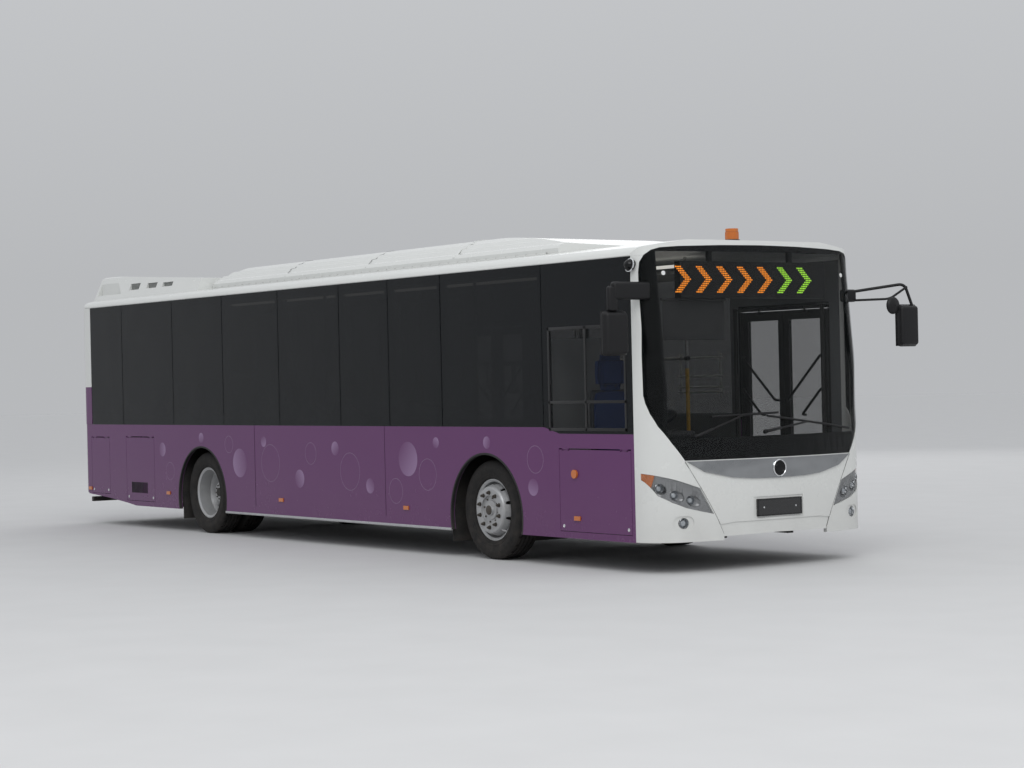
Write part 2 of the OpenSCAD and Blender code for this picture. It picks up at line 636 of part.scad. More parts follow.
module axles() {
  color([0.05, 0.05, 0.05]) {
    // front beam
    block(front_x - 60, front_x + 60, -king_y + 60, king_y - 60, 155, 262);
    for (s = [-1, 1]) for (z = [330, 600]) translate([front_x, s * king_y, z]) difference() {
      union() { cylinder(h = 45, r = 45); block(-45, 45, s > 0 ? -90 : 0, s > 0 ? 0 : 90, 0, 45); }
      translate([0, 0, -1]) cylinder(h = 47, r = 25.05);
    }
    for (s = [-1, 1]) block(front_x - 45, front_x + 45, min(s * (king_y - 90), s * (king_y - 60)),
      max(s * (king_y - 90), s * (king_y - 60)), 155, 645);
    for (s = [-1, 1]) block(front_x - 50, front_x + 50, s * 400 - 30, s * 400 + 30, 250, 269.7);
    // rear axle with its drive housing, on saddles over the frame
    for (s = [-1, 1]) block(rear_x - 60, rear_x + 60, s * 400 - 30, s * 400 + 30, floor_top - 39.7, 440);
    rod_y(rear_x, tyre_radius, -twin_y + 150, twin_y - 150, 75);
    translate([rear_x, 0, tyre_radius]) sphere(r = 190);
    for (s = [-1, 1]) rod_y(rear_x, tyre_radius, s > 0 ? twin_y - 160 : -wheel_y + 20,
      s > 0 ? wheel_y - 20 : -twin_y + 160, 50);
  }
}
module engine() {
  color([0.2, 0.2, 0.2]) block(-L2 + 250, -L2 + 1700, -560, 560, floor_top - 40, rear_floor_top - 60);
}
module mudflaps() {
  color([0.05, 0.05, 0.05]) for (s = [-1, 1]) for (x = [rear_x - 585, front_x - 650])
    block(x, x + 8, s > 0 ? 930 : -W2 + wall + 2, s > 0 ? W2 - wall - 2 : -930, 150, 480);
}
// steered knuckle at +Y
module knuckle(s) {
  color([0.08, 0.08, 0.08]) mirror([0, s < 0 ? 1 : 0, 0]) {
    translate([front_x, king_y, 325]) cylinder(h = 325, r = 25);
    translate([front_x, king_y, 381]) cylinder(h = 213, r = 44);
    rod_y(front_x, tyre_radius, king_y, wheel_y + 60, 40);
  }
}
// rims and tyres at +Y, about the wheel's axis; outlines are radius, offset from the tyre's middle
// front: the disc bulges outwards to a flat face round the hub
front_rim_pts = [[298, -105], [298, -95], [280, -85], [280, 85], [298, 95], [298, 105], [290, 105], [272, 92],
  [268, 45], [262, 30], [250, 80], [232, 135], [222, 150], [212, 154], [141, 154], [139, 130], [95, 128],
  [90, 140], [55, 142], [50, 160], [40, 166], [0, 166], [0, 62], [40.05, 62], [40.05, 40], [115, 40],
  [130, 110], [141, 142], [208, 142], [216, 138], [226, 128], [243, 78], [254, 20], [260, -85], [285, -105]];
// outer rear: the disc lies deep inside, with the hub standing out of it
rear_rim_pts = [[298, -105], [298, -95], [280, -85], [280, 85], [298, 95], [298, 105], [290, 105], [270, 92],
  [264, -50], [250, -75], [225, -130], [200, -143], [128, -145], [126, -55], [112, -38], [50.05, -36],
  [50.05, -156], [160, -156], [215, -150], [238, -118], [260, -90], [285, -105]];
inner_rim_pts = [[298, -105], [298, -95], [280, -85], [280, 85], [298, 95], [298, 105], [262, 100],
  [160, 156], [50.05, 156], [50.05, 145], [160, 145], [262, 80], [262, -85], [285, -105]];
module turned(pts) { rotate([-90, 0, 0]) rotate_extrude() polygon(pts); }
module tyre_shape() {
  rotate([-90, 0, 0]) rotate_extrude() polygon([[298.5, -105], [350, -tyre_width / 2 + 6],
    [420, -tyre_width / 2], [460, -tyre_width / 2 + 12], [tyre_radius, -tyre_width / 2 + 35],
    [tyre_radius, tyre_width / 2 - 35], [460, tyre_width / 2 - 12], [420, tyre_width / 2],
    [350, tyre_width / 2 - 6], [298.5, 105]]);
}
// places what is drawn about a wheel's middle on the +Y side, or mirrors it to the other
module at_wheel(x, s) { mirror([0, s < 0 ? 1 : 0, 0]) translate([x, wheel_y, tyre_radius]) children(); }
module front_rim(s) {
  color([0.7, 0.7, 0.7]) at_wheel(front_x, s) difference() {
    turned(front_rim_pts);
    for (k = [0:9]) rotate([0, k * 36, 0]) translate([0, 0, 247]) rotate([-90, 0, 0])
      cylinder(h = 122, r = 17);
  }
}
module front_tyre(s) {
  color([0.03, 0.03, 0.03]) at_wheel(front_x, s) tyre_shape();
}
module rear_rim(s) {
  color([0.7, 0.7, 0.7]) at_wheel(rear_x, s) difference() {
    union() {
      turned(rear_rim_pts);
      translate([0, twin_y - wheel_y, 0]) turned(inner_rim_pts);
    }
    for (k = [0:7]) rotate([0, k * 45, 0]) translate([0, -220, 222]) rotate([-90, 0, 0])
      cylinder(h = 160, r = 20);
  }
}
module rear_tyres(s) {
  color([0.03, 0.03, 0.03]) mirror([0, s < 0 ? 1 : 0, 0]) for (y = [wheel_y, twin_y])
    translate([rear_x, y, tyre_radius]) tyre_shape();
}
// door arms on their post; e is +1 for the leaf at the doorway's front edge
module door_arms(x, e) {
  color([0.1, 0.1, 0.1]) translate([x, 0, 0]) mirror([e > 0 ? 0 : 1, 0, 0]) {
    translate([post_u, post_v, floor_top + 11]) cylinder(h = doorway_top - floor_top - 36, r = 20);
    translate([post_u, post_v, floor_top + 0.4]) cylinder(h = doorway_top - floor_top - 10, r = 12);
    for (z = [floor_top + 22, leaf_z1 + 11]) {
      translate([post_u, post_v, z]) rotate([0, 0, 180 - arm_deg]) translate([-4, -14, 0])
        cube([arm - 6, 28, 20]);
      translate([pivot_u, pivot_v, z - 1]) cylinder(h = 22, r = 18);
    }
    translate([pivot_u, pivot_v, floor_top + 30]) cylinder(h = leaf_z0 + 25 - floor_top - 30, r = 10);
    translate([pivot_u, pivot_v, leaf_z1 - 25]) cylinder(h = 45, r = 10);
  }
}
module door_leaf(x, e) {
  color([0.05, 0.05, 0.05]) translate([x, 0, 0]) mirror([e > 0 ? 0 : 1, 0, 0]) {
    difference() {
      block(pivot_u - leaf_lead, pivot_u + leaf_back, W2 - 40, W2, leaf_z0, leaf_z1);
      block(pivot_u - leaf_lead + 70, pivot_u + leaf_back - 60, W2 - 50, W2 + 10, leaf_z0 + 110,
        leaf_z1 - 90);
    }
    for (z = [leaf_z0, leaf_z1 - 30]) difference() {
      block(pivot_u - 25, pivot_u + 25, pivot_v - 20, W2 - 39, z, z + 30);
      translate([pivot_u, pivot_v, z - 1]) cylinder(h = 32, r = 10.05);
    }
  }
}
module door_glass(x, e) {
  color([0.05, 0.06, 0.06, 0.6]) translate([x, 0, 0]) mirror([e > 0 ? 0 : 1, 0, 0])
    block(pivot_u - leaf_lead + 70, pivot_u + leaf_back - 60, W2 - 24, W2 - 16, leaf_z0 + 110, leaf_z1 - 90);
}
// a flap on the right side with its hinge barrels, g is the gap round it
module side_flap(f) {
  g = 5;
  mirror([0, 1, 0]) {
    difference() {
      block(f[0] + g, f[1] - g, W2 - 30, W2, f[2] + g, f[3] - 12);
      for (x = [f[0] + 44, f[1] - 156]) block(x - 2, x + 114, W2 - 12, W2 + 10, f[3] - 20, f[3]);
    }
    for (x = [f[0] + 66, f[1] - 134]) difference() {
      union() {
        rod_x(W2 - 2, f[3] - 6, x, x + 68, 5);
        block(x, x + 68, W2 - 12, W2 - 4, f[3] - 22, f[3] - 6);
      }
      rod_x(W2 - 2, f[3] - 6, x - 1, x + 69, 3.05);
    }
  }
}
module locker_flap() { color([0.36, 0.23, 0.40]) side_flap(locker); }
module rear_flap() { color([0.36, 0.23, 0.40]) side_flap(flap_a); }
module vent_flap() {
  // upright slots over the middle of the flap's width
  slots = 13;
  wide = flap_b[1] - flap_b[0];
  pitch = 0.56 * wide / slots;
  x0 = flap_b[0] + 0.19 * wide;
  color([0.36, 0.23, 0.40]) difference() {
    side_flap(flap_b);
    for (k = [0:slots - 1])
      block(x0 + k * pitch, x0 + k * pitch + 18, -W2 - 10, -W2 + 40, flap_b[2] + 100, flap_b[2] + 232);
  }
}
module engine_lid() {
  g = 5;
  color([0.36, 0.23, 0.40]) {
    difference() {
      block(-L2, -L2 + 30, lid[0] + g, lid[1] - g, lid[2] + g, lid[3] - 12);
      for (y = [lid[0] + 64, lid[1] - 176]) block(-L2 - 10, -L2 + 12, y - 2, y + 114, lid[3] - 20, lid[3]);
      for (k = [0:9]) block(-L2 - 10, -L2 + 40, -500, 500, 900 + k * 40, 920 + k * 40);
    }
    for (y = [lid[0] + 86, lid[1] - 154]) difference() {
      union() {
        translate([-L2 + 2, y, lid[3] - 6]) rotate([-90, 0, 0]) cylinder(h = 68, r = 5);
        block(-L2 + 4, -L2 + 12, y, y + 68, lid[3] - 22, lid[3] - 6);
      }
      translate([-L2 + 2, y - 1, lid[3] - 6]) rotate([-90, 0, 0]) cylinder(h = 70, r = 3.05);
    }
  }
}

chassis();
floor();
rear_floor();
wheel_boxes();
right_side();
left_side();
roof();
rear_end();
front_panel();
front_corners();
front_mask();
windscreen();
right_windows();
left_windows();
rear_window();
air_conditioner();
roof_pod();
headlamps();
tail_lamps();
markers();
flap_lamps();
chrome_strip();
number_plates();
mirrors();
wipers();
destination_sign();
seats();
dashboard();
handrails();
cab_partition();
axles();
engine();
mudflaps();
knuckle(-1);  // knuckle_right
knuckle(1);  // knuckle_left
front_rim(-1);  // front_rim_right
front_rim(1);  // front_rim_left
front_tyre(-1);  // front_tyre_right
front_tyre(1);  // front_tyre_left
rear_rim(-1);  // rear_rim_right
rear_rim(1);  // rear_rim_left
rear_tyres(-1);  // rear_tyres_right
rear_tyres(1);  // rear_tyres_left
door_arms(front_door_x, 1);  // front_door_arms_a
door_arms(front_door_x, -1);  // front_door_arms_b
door_arms(middle_door_x, 1);  // middle_door_arms_a
door_arms(middle_door_x, -1);  // middle_door_arms_b
door_leaf(front_door_x, 1);  // front_leaf_a
door_leaf(front_door_x, -1);  // front_leaf_b
door_leaf(middle_door_x, 1);  // middle_leaf_a
door_leaf(middle_door_x, -1);  // middle_leaf_b
door_glass(front_door_x, 1);  // front_glass_a
door_glass(front_door_x, -1);  // front_glass_b
door_glass(middle_door_x, 1);  // middle_glass_a
door_glass(middle_door_x, -1);  // middle_glass_b
locker_flap();
rear_flap();
vent_flap();
engine_lid();
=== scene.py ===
# Airport passenger bus: a low-entry single decker with bonded dark glass, a purple lower band and a
# white roof. Metres, in the part's own frame: +X is the front, +Y is the bus's left, +Z is up.
import math
import bpy
from mathutils import Matrix, Vector


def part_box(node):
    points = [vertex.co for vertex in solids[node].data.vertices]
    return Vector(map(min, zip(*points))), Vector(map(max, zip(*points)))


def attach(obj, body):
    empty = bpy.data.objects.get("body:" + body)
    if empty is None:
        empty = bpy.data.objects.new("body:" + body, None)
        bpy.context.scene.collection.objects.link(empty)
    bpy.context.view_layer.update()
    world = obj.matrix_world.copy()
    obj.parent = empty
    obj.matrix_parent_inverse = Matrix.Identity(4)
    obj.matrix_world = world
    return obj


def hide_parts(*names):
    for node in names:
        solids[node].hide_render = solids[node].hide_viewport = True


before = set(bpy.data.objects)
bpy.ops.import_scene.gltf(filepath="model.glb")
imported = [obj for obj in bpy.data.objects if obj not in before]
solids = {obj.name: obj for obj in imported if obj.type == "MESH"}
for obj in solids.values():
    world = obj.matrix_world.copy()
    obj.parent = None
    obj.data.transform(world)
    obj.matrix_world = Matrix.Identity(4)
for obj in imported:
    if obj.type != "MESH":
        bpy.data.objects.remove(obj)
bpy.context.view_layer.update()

# The camera: held at eye height across the road, ahead of the bus and on its right side. Its place,
# turn and focal length follow from the wheels, window seams and roof line in the picture.
PICTURE_WIDTH = 1024
eye = Vector((20.513, -13.183, 1.706))
turn, tilt, roll = (math.radians(a) for a in (54.67, 0.051, -1.311))
focal_px = 2180.7
back = Vector((math.sin(turn) * math.cos(tilt), -math.cos(turn) * math.cos(tilt), math.sin(tilt)))
side = (-back).cross(Vector((0, 0, 1))).normalized()
above = side.cross(-back)
right = side * math.cos(roll) + above * math.sin(roll)
up = above * math.cos(roll) - side * math.sin(roll)
camera = bpy.data.objects.new("view", bpy.data.cameras.new("view"))
camera.data.sensor_width = 36
camera.data.lens = focal_px / PICTURE_WIDTH * camera.data.sensor_width
camera.data.clip_end = 400
camera.matrix_world = Matrix.Translation(eye) @ Matrix((right, up, back)).transposed().to_4x4()
bpy.context.scene.collection.objects.link(camera)
bpy.context.scene.camera = camera
bpy.context.scene.view_settings.view_transform = "Standard"


# The studio: a pale smooth floor, a pale sky that brightens overhead, one big soft lamp high on the
# camera's side and a weaker one on the far side.
def link(look, node, sockets):
    """Sets a shader node's sockets; a value is a number, a colour or another node's output."""
    for key, value in sockets.items():
        if isinstance(value, bpy.types.NodeSocket):
            look.node_tree.links.new(value, node.inputs[key])
        else:
            node.inputs[key].default_value = value


def put(look, kind, sockets, **settings):
    """Adds a shader node to a material or world."""
    made = look.node_tree.nodes.new("ShaderNode" + kind)
    for key, value in settings.items():
        setattr(made, key, value)
    link(look, made, sockets)
    return made


def feed(look, sockets):
    """Sets sockets of the material's own shader."""
    link(look, look.node_tree.nodes["Principled BSDF"], sockets)


def noise(look, **sockets):
    """A cloudy pattern laid over the mesh's own coordinates."""
    place = put(look, "TexCoord", {}).outputs["Object"]
    return put(look, "TexNoise", {"Vector": place, **sockets}).outputs["Fac"]


def ramp(look, value, after=(0.0, 1.0), before=(0.0, 1.0)):
    """Maps a value from the range before to the range after."""
    return put(look, "MapRange", {"Value": value, "From Min": before[0], "From Max": before[1],
                                  "To Min": after[0], "To Max": after[1]}).outputs["Result"]


sky = bpy.data.worlds.new("sky")
sky.use_nodes = True
bpy.context.scene.world = sky
sky.node_tree.nodes.clear()
upward = put(sky, "SeparateXYZ", {0: put(sky, "TexCoord", {}).outputs["Generated"]}).outputs["Z"]
dome = put(sky, "Background", {"Color": (0.95, 0.97, 1.0, 1),
                                 "Strength": ramp(sky, upward, (0.5, 0.92), (0.05, 0.8))})
put(sky, "OutputWorld", {"Surface": dome.outputs[0]})
for name, place, size, watts in (("key", (19, -11, 18), 16, 2100), ("fill", (-13, 17, 12), 14, 450)):
    lamp = bpy.data.objects.new(name, bpy.data.lights.new(name, "AREA"))
    lamp.data.size = size
    lamp.data.energy = watts
    aim = (Vector(place) - Vector((0, 0, 1))).to_track_quat("Z", "Y")
    lamp.matrix_world = Matrix.Translation(place) @ aim.to_matrix().to_4x4()
    bpy.context.scene.collection.objects.link(lamp)
bpy.ops.mesh.primitive_circle_add(vertices=96, radius=150, fill_type="NGON", location=(0, 0, -0.001))
ground = bpy.context.object
ground.name = "studio_floor"
pale = bpy.data.materials.new("studio_floor")
pale.use_nodes = True
feed(pale, {"Base Color": ramp(pale, noise(pale, Scale=1.5, Detail=6.0), (0.55, 0.6)), "Roughness": 0.85})
ground.data.materials.append(pale)


# The frame, axles and engine under the floor: welded steel sections in black paint under road dust,
# with a bare cast engine block on the rails and rubber flaps behind the wheels.
def blend(look, share, under, over):
    """Mixes two colours, each given as four numbers or as an output."""
    return put(look, "Mix", {"Factor": share, "A": under, "B": over}, data_type="RGBA").outputs["Result"]


def calc(look, operation, *values, clamp=False):
    """A sum or comparison of one or two values."""
    return put(look, "Math", dict(enumerate(values)), operation=operation, use_clamp=clamp).outputs[0]


def along(look, axis):
    """Where a spot of the mesh lies along one of its axes."""
    return put(look, "SeparateXYZ", {0: put(look, "TexCoord", {}).outputs["Object"]}).outputs[axis]


def emboss(look, height, distance, strength=0.5):
    """A fine relief that only the light shows."""
    feed(look, {"Normal": put(look, "Bump", {"Height": height, "Distance": distance,
                                             "Strength": strength}).outputs[0]})


DUST = (0.2, 0.17, 0.145, 1)


def surface(name, colour, tone=0.85, scale=6.0, rough=(0.4, 0.55), metal=0.0, relief=0.0, dust=0.0,
            coat=0.0, clear=1.0, shine=0.5, low=0.25, high=1.1, slot=None):
    """A finish: its colour drifts to a darker tone, its gloss varies, and dust thins out from low to high."""
    look = bpy.data.materials.new(name)
    look["slot"] = slot or name
    look.use_nodes = True
    drift = noise(look, Scale=scale, Detail=5.0, Roughness=0.6)
    fine = noise(look, Scale=scale * 9, Detail=4.0, Roughness=0.6)
    paint = blend(look, drift, (*[c * tone for c in colour], 1), (*colour, 1))
    gloss = ramp(look, fine, rough, (0.3, 0.7))
    if dust:
        film = calc(look, "MULTIPLY", ramp(look, along(look, "Z"), (dust, 0.0), (low, high)),
                    ramp(look, drift, before=(0.3, 0.75)))
        paint = blend(look, film, paint, DUST)
        gloss = calc(look, "ADD", gloss, film, clamp=True)
    if relief:
        emboss(look, fine, relief, 0.6)
    feed(look, {"Base Color": paint, "Roughness": gloss, "Metallic": metal, "Coat Weight": coat,
                "Coat Roughness": 0.04, "Alpha": clear, "Specular IOR Level": shine})
    return look


def dress(look, *names):
    """Gives the CAD nodes of these names that finish."""
    for n in names:
        solids[n].data.materials.clear()
        solids[n].data.materials.append(look)


black_steel = surface("black_steel", (0.02, 0.019, 0.018), rough=(0.5, 0.75), relief=0.0006, dust=0.35,
                      low=0.1, high=0.9)
dress(black_steel, "chassis", "axles", "knuckle_right", "knuckle_left", "wheel_boxes")
dress(surface("cast_iron", (0.16, 0.155, 0.15), tone=0.6, rough=(0.5, 0.8), metal=0.6, relief=0.002,
              dust=0.5, low=0.2, high=1.0), "engine")
rubber = surface("rubber", (0.014, 0.014, 0.014), rough=(0.6, 0.8), relief=0.0004, dust=0.3, low=0.1, high=0.7)
dress(rubber, "mudflaps")
dress(surface("floor_grey", (0.15, 0.16, 0.17), tone=0.8, scale=30, rough=(0.6, 0.8), relief=0.0003),
      "floor", "rear_floor")


# The wheels: pressed steel rims in silver paint, the front discs bulging outwards with ten nuts and
# the rear ones sunk deep, on tyres with four grooves and notched shoulders.
def soften(edge, steps=2):
    """Rounds the active object's edges where its faces meet at more than 30 degrees."""
    rounding = bpy.context.object.modifiers.new("rounding", "BEVEL")
    rounding.width = edge
    rounding.segments = steps
    rounding.angle_limit = math.radians(30)
    bpy.ops.object.modifier_apply(modifier=rounding.name)


def hand_over(name, look, body="bus", instead_of=(), smooth=32):
    """Names the active object, puts its place into its mesh, gives it a finish and lets it ride on a body."""
    piece = bpy.context.object
    piece.name = piece.data.name = name
    bpy.ops.object.transform_apply()
    bpy.ops.object.shade_smooth_by_angle(angle=math.radians(smooth))
    piece.data.materials.clear()
    piece.data.materials.append(look)
    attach(piece, body)
    if instead_of:
        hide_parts(*instead_of)
    bpy.ops.object.select_all(action="DESELECT")


def rod(start, end, radius, sides=24, edge=0.0, tip=None):
    """A round bar between two points; tip is its radius at the end."""
    start, end = Vector(start), Vector(end)
    turned_to = (end - start).to_track_quat("Z", "Y").to_euler()
    bpy.ops.mesh.primitive_cone_add(vertices=sides, radius1=radius, radius2=radius if tip is None else tip,
                                    depth=(end - start).length, location=(start + end) / 2, rotation=turned_to)
    bpy.ops.object.transform_apply()
    if edge:
        soften(edge)
    return bpy.context.object


def join(pieces):
    """Makes one object of several."""
    bpy.ops.object.select_all(action="DESELECT")
    for p in pieces:
        p.select_set(True)
    bpy.context.view_layer.objects.active = pieces[0]
    bpy.ops.object.join()
    return pieces[0]


def unite(pieces, *what, **how):
    """Makes one object of several and hands it over."""
    join(pieces)
    hand_over(*what, **how)


def repeat(piece, places):
    """Copies the piece to every matrix in places, each copy with its own mesh, and joins them."""
    copies = []
    for place in places:
        twin = piece.copy()
        twin.data = piece.data.copy()
        twin.data.transform(place)
        bpy.context.scene.collection.objects.link(twin)
        copies.append(twin)
    bpy.data.objects.remove(piece)
    return join(copies)


def about(centre, axis, count, first=0.0):
    """The matrices that turn a piece round an axis through centre, count times."""
    to, fro = Matrix.Translation(centre), Matrix.Translation(-Vector(centre))
    return [to @ Matrix.Rotation(first + 2 * math.pi * k / count, 4, axis) @ fro for k in range(count)]


def edit(action="SELECT", kind=None):
    """Opens the active object's mesh with all of it selected, or none; kind is what gets selected."""
    bpy.ops.object.mode_set(mode="EDIT")
    if kind:
        bpy.ops.mesh.select_mode(type=kind)
    bpy.ops.mesh.select_all(action=action)


def close(turn=False):
    """Closes the mesh; turn makes all its faces look outwards first."""
    if turn:
        bpy.ops.mesh.select_all(action="SELECT")
        bpy.ops.mesh.normals_make_consistent(inside=False)
    bpy.ops.object.mode_set(mode="OBJECT")


def lathe(outline, centre, axis, steps=96):
    """Extrudes and scales a ring along an outline of (radius, offset) about an axis through centre."""
    radius, offset = outline[0]
    bpy.ops.mesh.primitive_circle_add(vertices=steps, radius=radius, location=(0, 0, offset))
    bpy.ops.object.transform_apply()
    edit(kind="VERT")
    for (r1, d1), (r2, d2) in zip(outline, outline[1:]):
        bpy.ops.mesh.extrude_region_move(TRANSFORM_OT_translate={"value": (0, 0, d2 - d1)})
        bpy.ops.transform.resize(value=(r2 / r1, r2 / r1, 1), center_override=(0, 0, d2))
    if outline[-1][0] < 0.001:
        bpy.ops.mesh.merge(type="CENTER")
    bpy.ops.mesh.select_all(action="SELECT")
    bpy.ops.mesh.remove_doubles(threshold=0.00005)
    close(turn=True)
    stand = Vector(axis).to_track_quat("Z", "Y").to_matrix().to_4x4()
    bpy.context.object.data.transform(Matrix.Translation(centre) @ stand)
    return bpy.context.object


def pick(test):
    """Selects the active object's faces that pass a test, and leaves its mesh open."""
    edit("DESELECT", "FACE")
    close()
    for face in bpy.context.object.data.polygons:
        face.select = test(face)
    bpy.ops.object.mode_set(mode="EDIT")


def tyre(centre, out):
    """A bus tyre: bead, bulged sidewall with fine ribs, and a tread with four grooves and notched shoulders."""
    wall = [(0.2985, 0.104), (0.306, 0.118), (0.318, 0.1245), (0.322, 0.1225), (0.345, 0.131), (0.349, 0.1285),
            (0.372, 0.1355), (0.4, 0.1372), (0.424, 0.1365), (0.428, 0.134), (0.446, 0.1295), (0.452, 0.126),
            (0.463, 0.121), (0.4765, 0.103)]
    crown, half_groove, depth, segments = 0.478, 0.005, 0.013, 120
    tread = [(0.4779, 0.0985)]
    for middle in (0.066, 0.023):
        tread += [(crown, middle + half_groove), (crown - depth, middle + half_groove - 0.001),
                  (crown - depth, middle - half_groove + 0.001), (crown, middle - half_groove)]
    half = wall + tread
    piece = lathe(half + [(r, -d) for r, d in reversed(half)], centre, (0, out, 0), segments)

    def notched(face):
        spot = face.center - Vector(centre)
        sector = round(math.atan2(spot.x, spot.z) / (2 * math.pi) * segments - 0.5)
        return (0.075 < abs(spot.y) < 0.0995 and math.hypot(spot.x, spot.z) > 0.475
                and (sector + (2 if spot.y > 0 else 0)) % 4 == 0)

    pick(notched)
    bpy.ops.mesh.extrude_region_shrink_fatten(TRANSFORM_OT_shrink_fatten={"value": -0.01})
    close()
    return piece


tyre_rubber = surface("tyre", (0.01, 0.01, 0.0105), scale=10, rough=(0.6, 0.85), relief=0.0006, dust=0.2,
                      shine=0.3, low=-0.1, high=1.6)
silver = surface("silver_rim", (0.56, 0.57, 0.58), tone=0.65, scale=9, rough=(0.32, 0.5), metal=0.5, dust=0.45,
                 low=-0.1, high=1.6)
nut_steel = surface("nut_steel", (0.13, 0.115, 0.1), tone=0.5, scale=30, rough=(0.4, 0.6), metal=0.7,
                    slot="silver_rim")
dress(silver, "front_rim_right", "front_rim_left", "rear_rim_right", "rear_rim_left")
NUT_RING, HUB_RING, SHAFT_RING, TYRE_WIDTH = 0.1675, 0.117, 0.083, 0.275
SIDES = (("right", -1), ("left", 1))


def nuts(centre, out, ring, count, first, *rods):
    """Nuts round an axle; each of a nut's rods has its two ends, its radius and, if need be, sides and edge."""
    spot = centre + Vector((0, 0, ring))
    nut = [rod(spot + Vector((0, out * a, 0)), spot + Vector((0, out * b, 0)), *shape) for a, b, *shape in rods]
    return repeat(join(nut), about(centre, "Y", count, first))


for hand, out in SIDES:
    front, rear = "front_wheel_" + hand, "rear_wheel_" + hand
    low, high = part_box("front_tyre_" + hand)
    hub = (low + high) / 2
    tyre(hub, out)
    hand_over("front_tyre_" + hand + "_rubber", tyre_rubber, front, ["front_tyre_" + hand], 40)
    nuts(hub, out, NUT_RING, 10, 0, (0.152, 0.157, 0.021), (0.157, 0.176, 0.0165, 6, 0.0015),
         (0.176, 0.188, 0.0105, 12, 0.001))
    hand_over("front_nuts_" + hand, nut_steel, front)
    bolts = nuts(hub, out, HUB_RING, 8, 0.2, (0.127, 0.139, 0.0095, 6, 0.001))
    cap = [(0.047, 0.158), (0.045, 0.168), (0.038, 0.173), (0.015, 0.176), (0.0005, 0.176)]
    unite([bolts, lathe(cap, hub, (0, out, 0), 32)], "front_hub_" + hand, nut_steel, front)
    low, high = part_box("rear_tyres_" + hand)
    outer = Vector(((low.x + high.x) / 2, (high.y if out > 0 else low.y) - out * TYRE_WIDTH / 2, hub.z))
    inner = Vector((outer.x, (low.y if out > 0 else high.y) + out * TYRE_WIDTH / 2, hub.z))
    unite([tyre(inner, out), tyre(outer, out)], "rear_tyres_" + hand + "_rubber", tyre_rubber, rear,
          ["rear_tyres_" + hand], 40)
    unite([nuts(outer, out, NUT_RING, 10, 0, (-0.145, -0.121, 0.0165, 6, 0.0015), (-0.121, -0.1, 0.0105, 12, 0.001)),
           nuts(outer, out, SHAFT_RING, 10, 0.2, (-0.038, -0.026, 0.009, 6, 0.001))],
          "rear_nuts_" + hand, nut_steel, rear)


# The body panels: sprayed steel and aluminium, purple below the windows with a film of road dust,
# black behind the bonded panes; the roof, front and rear corners are white and a little weathered.
def repaint(look, share, colour):
    """Lays a colour over a material's own wherever share is 1."""
    own = look.node_tree.nodes["Principled BSDF"].inputs["Base Color"].links[0].from_socket
    feed(look, {"Base Color": blend(look, share, own, (*colour, 1))})


def banded(name, lower, upper, edge, dust):
    """Lacquered paint that changes from the lower to the upper colour at the height edge."""
    look = surface(name, lower, tone=0.93, scale=1.3, rough=(0.16, 0.26), dust=dust, coat=0.15, shine=0.3,
                   low=0.2, high=0.9)
    repaint(look, calc(look, "GREATER_THAN", along(look, "Z"), edge), upper)
    return look


PURPLE = (0.125, 0.036, 0.132)
WHITE = (0.72, 0.73, 0.71)
BLACK = (0.01, 0.01, 0.011)
LINING = (0.16, 0.165, 0.17)
LINING_Y = 1.2315  # the walls' inner faces are lined in grey
WAIST, TAIL_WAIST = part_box("left_windows")[0].z, 1.765
purple = banded("purple_paint", PURPLE, BLACK, WAIST - 0.002, 0.1)
across = calc(purple, "ABSOLUTE", along(purple, "Y"))
repaint(purple, calc(purple, "LESS_THAN", across, LINING_Y), LINING)
dress(purple, "right_side", "left_side", "locker_flap", "rear_flap", "vent_flap")
rear_paint = banded("rear_paint", PURPLE, WHITE, TAIL_WAIST, 0.25)
rear_paint["slot"] = "white_paint"
dress(rear_paint, "rear_end", "engine_lid")
white = surface("white_paint", WHITE, tone=0.95, scale=1.5, rough=(0.18, 0.28), dust=0.25, coat=0.2,
                shine=0.4)
dress(white, "roof", "front_panel", "front_corners")


# Trim of the two sides: a rubber lip clipped round each wheel arch, an extruded aluminium rail under the
# sill, dark sealant in the panel joints, round key locks on the flaps and near-black bars over the air inlet that
# are painted shade for the shadow inside its slits.
def bar(low, high, edge=0.003, steps=2):
    """A block between two corners with rounded edges."""
    low, high = Vector(low), Vector(high)
    bpy.ops.mesh.primitive_cube_add(size=1, location=(low + high) / 2)
    bpy.context.object.scale = high - low
    bpy.ops.object.transform_apply()
    if edge:
        soften(edge, steps)
    return bpy.context.object


def keep(point, normal):
    """Cuts the active object by a plane and keeps the part that the normal points at."""
    edit()
    bpy.ops.mesh.bisect(plane_co=point, plane_no=normal, use_fill=True, clear_inner=True)
    close()
    return bpy.context.object


